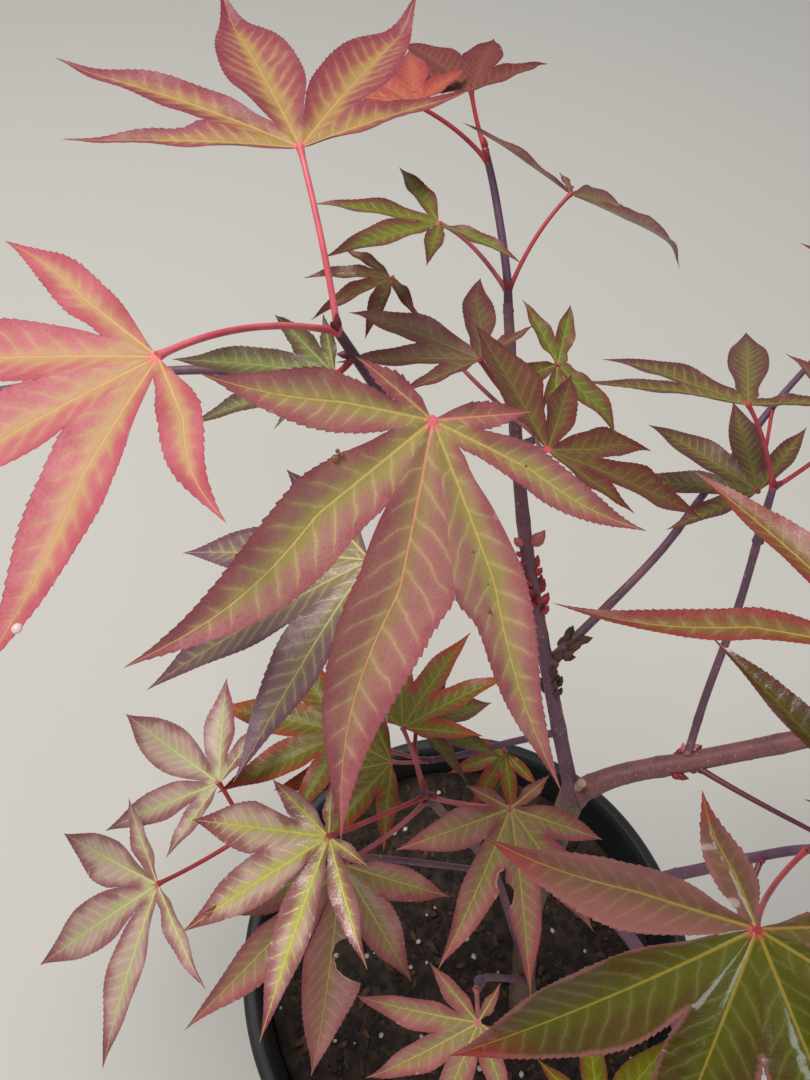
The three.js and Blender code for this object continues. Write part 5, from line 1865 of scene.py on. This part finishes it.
    def side_twig(self) -> None:
        """Adds the bare twig that runs out from the right limb."""
        batch = Batch()
        foot = Spline(BOUGHS["right_limb"].points).at(0.5)
        twig = Bow(foot, *(VIEW.place(place) for place in SIDE_TWIG))
        self.twig_tube.add(twig, lambda share: 1.25 - 0.5 * share, batch)
        self.hand_over(batch, "right_limb", "side_twig", StalkTint.PLUM)


def keep(piece: bpy.types.Object, slot: Slot, node: str) -> None:
    """Hands a finished piece over: it rides on the plant's body in place of a node of the solids.

    Args:
        piece: the piece.
        slot: its material slot in the record; not used.
        node: the node that it replaces.
    """
    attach(piece, BODY)
    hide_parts(node)
    log.info("%s: %d faces", piece.name, len(piece.data.polygons))


@dataclass
class Boughs:
    """The trunk and boughs, in millimetres, with the relief of their bark."""

    trunk_sides: int = 28
    bough_sides: int = 18
    ring_gap: float = 0.9
    trunk_node_gap: float = 40
    bough_node_gap: float = 34
    collar: float = 0.45
    collar_length: float = 5.5

    def __post_init__(self) -> None:
        """Builds the bark materials."""
        self.materials = {bark: bark.value.material(f"Bark.{bark.name.lower()}") for bark in Bark}

    @staticmethod
    def relief(seed: float, gap: float) -> Relief:
        """Gives a bough's relief: rings at its nodes, pores and fine ridges.

        Args:
            seed: tells one bough from another.
            gap: the distance between nodes in millimetres.

        Returns:
            A function of angles and distances along, for the factor on the radius and how scarred it is.
        """
        def shape(angles: Array, along: Array) -> tuple[Array, Array]:
            """Rings with a swelling about them, ridges that wind, and pores.

            Args:
                angles, along: the angles about the bough, and the distances along it in millimetres.

            Returns:
                The factor on the radius, and how scarred the bark is.
            """
            tilt = along + 0.7 * np.cos(2 * angles + seed)
            place = tilt / gap + chance(seed, 1)
            off = (place - np.round(place)) * gap
            ring = np.exp(-(off / 0.5) ** 2)
            swelling = np.exp(-(off / 3.2) ** 2)
            ridges = np.sin(7 * angles + 2.5 * np.sin(along / 19 + seed))
            ridges = ridges + 0.6 * np.sin(11 * angles - along / 7)
            waves = np.sin(3 * angles + along * 1.9 + seed) * np.sin(along * 0.83 + 2 * angles)
            pores = np.maximum(0, waves - 0.86) / 0.14
            return 1 + 0.07 * swelling + 0.03 * ring + 0.012 * ridges + 0.05 * pores, ring
        return shape

    def build(self) -> None:
        """Makes each bough in place of its solid."""
        for number, (name, limb) in enumerate(BOUGHS.items()):
            curve = Spline(limb.points)
            is_trunk = limb.bark is Bark.TRUNK
            sides = self.trunk_sides if is_trunk else self.bough_sides
            relief = self.relief(number + 1.7, self.trunk_node_gap if is_trunk else self.bough_node_gap)

            def radius_at(share: float, limb: Limb = limb, length: float = curve.length(),
                          collar: float = 0.0 if is_trunk else self.collar) -> float:
                """Tapers, with a collar where a bough leaves another."""
                return limb.radius(share) * (1 + collar * math.exp(-(share * length / self.collar_length) ** 2))
            batch = Batch()
            TubeMaker(sides, self.ring_gap).add(curve, radius_at, batch, relief=relief)
            keep(batch.piece(f"{name}.bark", self.materials[limb.bark]), Slot.BARK, name)


@dataclass(frozen=True)
class PotFinish:
    """Black moulded plastic, dusty and lightly scratched."""

    colour: Colour = srgb(27, 28, 31)
    dust: Colour = srgb(92, 86, 80)
    roughness: float = 0.4

    def material(self) -> bpy.types.Material:
        """Builds the finish.

        Returns:
            The material.
        """
        sheet = ShaderSheet("Pot.plastic", Specular_IOR_Level=0.45)
        place = sheet.place()
        film = sheet.noise(place, 14, 6)
        specks = sheet.noise(place, 620, 2)
        scratches = sheet.noise(sheet.stretched(place, (1.0, 1.0, 0.04)), 700, 2)
        dusty = film.rise(0.4, 0.9) * 0.22 + specks.rise(0.62, 0.74) * 0.3
        colour = sheet.mix(dusty, self.colour, self.dust)
        roughness = self.roughness + film * 0.2 + scratches.rise(0.6, 0.8) * 0.15
        sheet.feed(Base_Color=colour, Roughness=roughness)
        sheet.bump(specks * 0.4 + scratches * 0.5, 0.2, 0.15)
        return sheet.material


@dataclass
class Pot:
    """The nursery pot, in millimetres: a thin tapering wall with a rolled rim, ribs, and drain holes."""

    height: float = 215
    rim: float = 110
    mouth: float = 104
    foot: float = 88
    wall: float = 1.8
    floor: float = 3
    rim_drop: float = 13
    edge: float = 2
    recess: float = 1.2
    ribs: tuple[float, ...] = (24, 170, 190)
    rib_width: float = 7
    rib_depth: float = 0.9
    segments: int = 160
    fillet: float = 0.8
    drain_holes: int = 8
    drain_width: float = 16
    drain_height: float = 9
    drain_depth: float = 7
    finish: PotFinish = PotFinish()

    def wall_radius(self, height: float) -> float:
        """The wall's outer radius at a height."""
        return self.foot + (self.mouth - self.foot) * height / self.height

    def outline(self) -> list[tuple[float, float]]:
        """Draws the wall's section.

        Returns:
            Radii and heights, from the middle of the underside, round the rim, to the middle of the floor.
        """
        inner, outer = self.foot - 12, self.foot - 4
        corners = [(0, 0), (inner, 0), (inner + 1, self.recess), (outer - 1, self.recess), (outer, 0),
                   (self.foot - self.edge, 0), (self.foot, self.edge)]
        for low in self.ribs:
            high, out = low + self.rib_width, self.rib_depth
            corners += [(self.wall_radius(low), low), (self.wall_radius(low) + out, low + out),
                        (self.wall_radius(high - 1) + out, high - 1), (self.wall_radius(high), high)]
        under = self.height - self.rim_drop
        lip = self.height - self.wall
        corners += [(self.wall_radius(lip), lip), (self.rim - self.wall, lip), (self.rim - self.wall, under),
                    (self.rim, under), (self.rim, self.height - self.edge),
                    (self.rim - self.edge, self.height), (self.mouth, self.height),
                    (self.wall_radius(lip) - self.wall, lip - self.edge),
                    (self.wall_radius(self.floor) - self.wall, self.floor), (0, self.floor)]
        return self.rounded(corners)

    def rounded(self, corners: list[tuple[float, float]]) -> list[tuple[float, float]]:
        """Cuts each corner of an outline by a short arc.

        Args:
            corners: radii and heights.

        Returns:
            The smoother outline, with the same ends.
        """
        smooth = [corners[0]]
        for before, corner, after in zip(corners, corners[1:], corners[2:]):
            here = np.array(corner, dtype=float)
            ways = [np.array(other) - here for other in (before, after)]
            cut = min(self.fillet, *(0.45 * float(np.linalg.norm(way)) for way in ways))
            ends = [here + unit(way) * cut for way in ways]
            smooth += [tuple(Bow(ends[0], here, ends[1]).at(share)) for share in (0.0, 0.33, 0.67, 1.0)]
        return smooth + [corners[-1]]

    def build(self) -> None:
        """Turns the outline, cuts the drain holes and dresses the pot."""
        spun = lathe("Pot.turned", self.outline(), self.segments)
        cutters = bpy.data.meshes.new("Pot.holes")
        points, faces = [], []
        for i in range(self.drain_holes):
            turn = Matrix.Rotation(2 * math.pi * i / self.drain_holes, 4, "Z")
            for x, y, z in ((x, y, z) for x in (-1, 1) for y in (-1, 1) for z in (-1, 1)):
                middle = self.floor + self.edge + self.drain_height / 2
                spot = Vector((x * self.drain_width / 2, self.foot + y * self.drain_depth,
                               middle + z * self.drain_height / 2))
                points.append(turn @ spot * MM)
            k = 8 * i
            faces += [(k, k + 1, k + 3, k + 2), (k + 4, k + 6, k + 7, k + 5), (k, k + 4, k + 5, k + 1),
                      (k + 2, k + 3, k + 7, k + 6), (k, k + 2, k + 6, k + 4), (k + 1, k + 5, k + 7, k + 3)]
        cutters.from_pydata(points, [], faces)
        holes = linked("Pot.holes", cutters)
        cut = spun.modifiers.new("Holes", "BOOLEAN")
        cut.object = holes
        cut.solver = "EXACT"
        piece = plain_copy(spun, "pot.wall")
        for scrap in (spun, holes):
            bpy.data.objects.remove(scrap, do_unlink=True)
        piece.data.shade_smooth()
        piece.data.set_sharp_from_angle(angle=math.radians(40))
        piece.data.materials.clear()
        piece.data.materials.append(self.finish.material())
        keep(piece, Slot.POT, "pot")


def lathe(name: str, outline: list[tuple[float, float]], segments: int) -> bpy.types.Object:
    """Turns an outline of radii and heights in millimetres about the Z axis.

    Args:
        name: the object's name.
        outline: starts and ends on the axis, with the solid on its left.
        segments: faces round the axis.

    Returns:
        The closed object, in metres.
    """
    ring = circle(segments)
    points = [(0, 0, outline[0][1] * MM)]
    for radius, height in outline[1:-1]:
        points += [(radius * x * MM, radius * y * MM, height * MM) for x, y in ring]
    points.append((0, 0, outline[-1][1] * MM))
    faces: list[tuple[int, ...]] = []
    rows = len(outline) - 2
    for j in range(segments):
        after = (j + 1) % segments
        faces.append((0, 1 + after, 1 + j))
        for i in range(rows - 1):
            low, high = 1 + i * segments, 1 + (i + 1) * segments
            faces.append((low + j, low + after, high + after, high + j))
        last = 1 + (rows - 1) * segments
        faces.append((last + j, last + after, len(points) - 1))
    mesh = bpy.data.meshes.new(name)
    mesh.from_pydata(points, [], faces)
    return linked(name, mesh)


def plain_copy(source: bpy.types.Object, name: str) -> bpy.types.Object:
    """Makes a plain mesh object of what an object's modifiers make.

    Args:
        source: the object.
        name: the new object's name.

    Returns:
        The new object.
    """
    graph = bpy.context.evaluated_depsgraph_get()
    mesh = bpy.data.meshes.new_from_object(source.evaluated_get(graph))
    mesh.name = name
    return linked(name, mesh)


@dataclass(frozen=True)
class MixFinish:
    """Damp potting mix, chips or perlite."""

    colour: Colour
    other: Colour
    scale: float
    roughness: float = 0.92

    def material(self, name: str) -> bpy.types.Material:
        """Builds the finish.

        Args:
            name: the material's name.

        Returns:
            The material.
        """
        sheet = ShaderSheet(name)
        place = sheet.place()
        clumps = sheet.noise(place, self.scale, 6)
        crumbs = sheet.noise(place, self.scale * 9, 3)
        colour = sheet.mix(clumps.rise(0.35, 0.68), self.colour, self.other)
        colour = sheet.brighter(colour, 0.6 + crumbs * 0.8)
        sheet.feed(Base_Color=colour, Roughness=self.roughness - crumbs.rise(0.6, 0.8) * 0.25)
        sheet.bump(clumps * 0.6 + crumbs * 0.6, 0.8, 1.2)
        return sheet.material


@dataclass(frozen=True)
class Litter:
    """One kind of chip: its size in millimetres, how many to the square metre, and its looks."""

    name: str
    size: Point
    density: float
    factors: tuple[float, float]
    finish: MixFinish
    seed: int


LITTER = (
    Litter("chips", (3.4, 1.5, 0.8), 9000, (0.5, 1.3),
           MixFinish(srgb(96, 66, 46), srgb(52, 36, 28), 260, 0.85), 5),
    Litter("crumbs", (1.5, 1.2, 0.9), 42000, (0.4, 1.2),
           MixFinish(srgb(52, 38, 30), srgb(26, 20, 17), 260, 0.85), 9),
    Litter("perlite", (1.3, 1.2, 1.0), 2600, (0.5, 1.2),
           MixFinish(srgb(216, 212, 200), srgb(176, 168, 152), 260, 0.85), 13),
)


@dataclass
class PottingMix:
    """The potting mix, in millimetres: a rough surface in the pot, strewn with bark chips and perlite."""

    pot: Pot
    top: float = 190
    edge: float = 185
    crown: float = 56
    gap: float = 0.3
    segments: int = 150
    roughness: float = 2.0

    def surface(self) -> bpy.types.Object:
        """Makes the mix itself: rough on top, closed down the wall and across the floor.

        Returns:
            The object.
        """
        bottom = self.pot.floor + self.gap
        edge, foot = (self.pot.wall_radius(height) - self.pot.wall - 2 * self.gap
                      for height in (self.edge, bottom))
        top = [(self.crown * i / 40, self.top) for i in range(1, 41)]
        top += [(self.crown + (edge - self.crown) * i / 30, self.top + (self.edge - self.top) * i / 30)
                for i in range(1, 31)]
        outline = [(0, bottom), (foot, bottom), *reversed(top), (0, self.top)]
        made = lathe("soil.mix", outline, self.segments)
        for vertex in made.data.vertices:
            if vertex.co.z > (self.edge - 0.5) * MM:
                coarse = noise.noise(vertex.co * 70)
                fine = noise.noise(vertex.co * 330)
                vertex.co.z += (0.9 * coarse + 0.55 * fine - 0.5) * self.roughness * MM
        made.data.shade_smooth()
        return made

    @staticmethod
    def chip(name: str, size: Point, seed: int) -> bpy.types.Object:
        """Makes a small irregular chip, to be strewn.

        Args:
            name: the object's name.
            size: its half sizes in millimetres.
            seed: tells one shape from another.

        Returns:
            The chip.
        """
        bpy.ops.mesh.primitive_ico_sphere_add(subdivisions=2, radius=1.0)
        made = bpy.context.object
        made.name = name
        for vertex in made.data.vertices:
            push = 1 + 0.35 * noise.noise(vertex.co * 1.7 + Vector((seed, 0, 0)))
            vertex.co = Vector((vertex.co[i] * size[i] * push * MM for i in range(3)))
        return made

    @staticmethod
    def scatter_tree() -> bpy.types.NodeTree:
        """Builds the rule that strews chips over a surface, turned and sized at random from a fixed seed.

        Returns:
            The tree of nodes, which takes what its inputs name.
        """
        tree = bpy.data.node_groups.new("Strew", "GeometryNodeTree")
        inputs = {"Geometry": "Geometry", "Density": "Float", "Seed": "Int", "Smallest": "Float",
                  "Largest": "Float", "Chip": "Object", "Finish": "Material"}
        for name, kind in inputs.items():
            tree.interface.new_socket(name, in_out="INPUT", socket_type=f"NodeSocket{kind}")
        tree.interface.new_socket("Geometry", in_out="OUTPUT", socket_type="NodeSocketGeometry")
        sheet = Sheet(tree)
        given = {name: sheet.node("NodeGroupInput", {}, {}, name) for name in inputs}
        spots = sheet.node("GeometryNodeDistributePointsOnFaces", {},
                           {"Mesh": given["Geometry"], "Density": given["Density"], "Seed": given["Seed"]})
        chip = sheet.node("GeometryNodeObjectInfo", {}, {"Object": given["Chip"]}, "Geometry")
        turn = sheet.node("FunctionNodeRandomValue", {"data_type": "FLOAT_VECTOR"},
                          {0: (-0.6, -0.6, 0.0), 1: (0.6, 0.6, 6.28)})
        size = sheet.node("FunctionNodeRandomValue", {"data_type": "FLOAT"},
                          {2: given["Smallest"], 3: given["Largest"]}, 1)
        placed = sheet.node("GeometryNodeInstanceOnPoints", {},
                            {"Points": spots, "Instance": chip, "Rotation": turn, "Scale": size})
        whole = sheet.node("GeometryNodeRealizeInstances", {}, {"Geometry": placed})
        painted = sheet.node("GeometryNodeSetMaterial", {}, {"Geometry": whole, "Material": given["Finish"]})
        tree.links.new(painted.socket, tree.nodes.new("NodeGroupOutput").inputs["Geometry"])
        return tree

    def strewn(self, kind: Litter, ground: bpy.types.Object, tree: bpy.types.NodeTree) -> bpy.types.Object:
        """Strews one kind of chip.

        Args:
            kind: what is strewn.
            ground: what the chips lie on.
            tree: the rule that strews them.

        Returns:
            The chips as one plain mesh.
        """
        name = f"soil.{kind.name}"
        chip = self.chip(name + ".one", kind.size, kind.seed)
        holder = linked(name + ".ground", ground.data)
        rule = holder.modifiers.new("Strew", "NODES")
        rule.node_group = tree
        smallest, largest = kind.factors
        wanted = {"Density": kind.density, "Seed": kind.seed, "Smallest": smallest, "Largest": largest,
                  "Chip": chip, "Finish": kind.finish.material(f"Mix.{kind.name}")}
        for item in tree.interface.items_tree:
            if item.in_out == "INPUT" and item.name in wanted:
                rule[item.identifier] = wanted[item.name]
        made = plain_copy(holder, name)
        made.data.shade_smooth()
        for scrap in (holder, chip):
            bpy.data.objects.remove(scrap, do_unlink=True)
        return made

    def build(self) -> None:
        """Makes the mix and what lies on it."""
        ground = self.surface()
        ground.data.materials.append(MixFinish(srgb(34, 26, 21), srgb(66, 50, 40), 160).material("Mix.peat"))
        keep(ground, Slot.MIX, "soil")
        bed = self.bed()
        tree = self.scatter_tree()
        for kind in LITTER:
            keep(self.strewn(kind, bed, tree), Slot.MIX, "soil")
        bpy.data.objects.remove(bed, do_unlink=True)

    def bed(self) -> bpy.types.Object:
        """Makes the flat round patch that the chips are strewn over.

        Returns:
            The patch: a level crown with a slope about it.
        """
        count = 64
        reach = self.pot.wall_radius(self.edge) - self.pot.wall - 4
        points = [(radius * MM * x, radius * MM * y, height * MM)
                  for radius, height in ((reach, self.edge), (self.crown, self.top))
                  for x, y in circle(count)]
        faces = [(i, (i + 1) % count, count + (i + 1) % count, count + i) for i in range(count)]
        faces.append(tuple(range(count, 2 * count)))
        mesh = bpy.data.meshes.new("soil.bed")
        mesh.from_pydata(points, [], faces)
        return linked("soil.bed", mesh)


@dataclass(frozen=True)
class Lamp:
    """A square soft light, in metres and watts."""

    name: str
    place: Point
    size: float
    power: float
    colour: Point


LAMPS = (
    Lamp("Key", (-0.7, 0.3, 2.2), 0.7, 29.0, (1.0, 0.98, 0.94)),
    Lamp("Fill", (0.5, -1.9, 0.95), 0.45, 6.0, (0.94, 0.97, 1.0)),
)


@dataclass
class Studio:
    """A plain pale floor, soft light, and a camera where the photograph's lens was. Sizes are in metres."""

    crown_height: float = 0.42
    floor_size: float = 16
    sky: Colour = (0.93, 0.96, 1.0, 1.0)
    sky_strength: float = 0.42

    def floor(self) -> None:
        """The floor that the pot stands on."""
        bpy.ops.mesh.primitive_plane_add(size=self.floor_size)
        floor = bpy.context.object
        floor.name = "Floor"
        sheet = ShaderSheet("Floor", Base_Color=srgb(214, 210, 202), Roughness=0.95)
        floor.data.materials.append(sheet.material)

    def lamp(self, row: Lamp) -> None:
        """Hangs a lamp up, pointed at the crown.

        Args:
            row: the lamp.
        """
        data = bpy.data.lights.new(row.name, "AREA")
        data.size = row.size
        data.energy = row.power
        data.color = row.colour
        lamp = linked(row.name, data)
        lamp.location = row.place
        ahead = Vector((0.0, 0.0, self.crown_height)) - Vector(row.place)
        lamp.rotation_euler = ahead.to_track_quat("-Z", "Y").to_euler()

    def camera(self) -> None:
        """The camera, at the photograph's place, turn and angle of view."""
        data = bpy.data.cameras.new("Camera")
        data.sensor_width = 36.0
        data.lens = VIEW.focal / VIEW.height * data.sensor_width
        data.clip_start = 0.01
        camera = linked("Camera", data)
        turn = Matrix([[*VIEW.right, 0], [*VIEW.above, 0], [*(-VIEW.ahead), 0], [0, 0, 0, 1]]).transposed()
        camera.matrix_world = Matrix.Translation(Vector(VIEW.lens) * MM) @ turn
        bpy.context.scene.camera = camera

    def build(self) -> None:
        """Sets up the whole studio."""
        self.floor()
        for row in LAMPS:
            self.lamp(row)
        world = bpy.data.worlds.new("Sky")
        world.use_nodes = True
        sky = world.node_tree.nodes["Background"]
        sky.inputs["Color"].default_value = self.sky
        sky.inputs["Strength"].default_value = self.sky_strength
        scene = bpy.context.scene
        scene.world = world
        scene.view_settings.view_transform = "Standard"
        self.camera()


def main() -> None:
    """Builds the pot, the mix, the plant and the studio, one after the other."""
    logging.basicConfig(level=logging.INFO, format="%(message)s")
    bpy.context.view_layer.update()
    pot = Pot()
    pot.build()
    PottingMix(pot).build()
    Boughs().build()
    foliage = Foliage()
    for name, mass in Crown().masses.items():
        foliage.dress(name, mass)
        foliage.specks(name, mass)
    for knot in KNOTS:
        foliage.knot(knot)
    foliage.stub()
    foliage.side_twig()
    Studio().build()


if __name__ == "__main__":
    main()
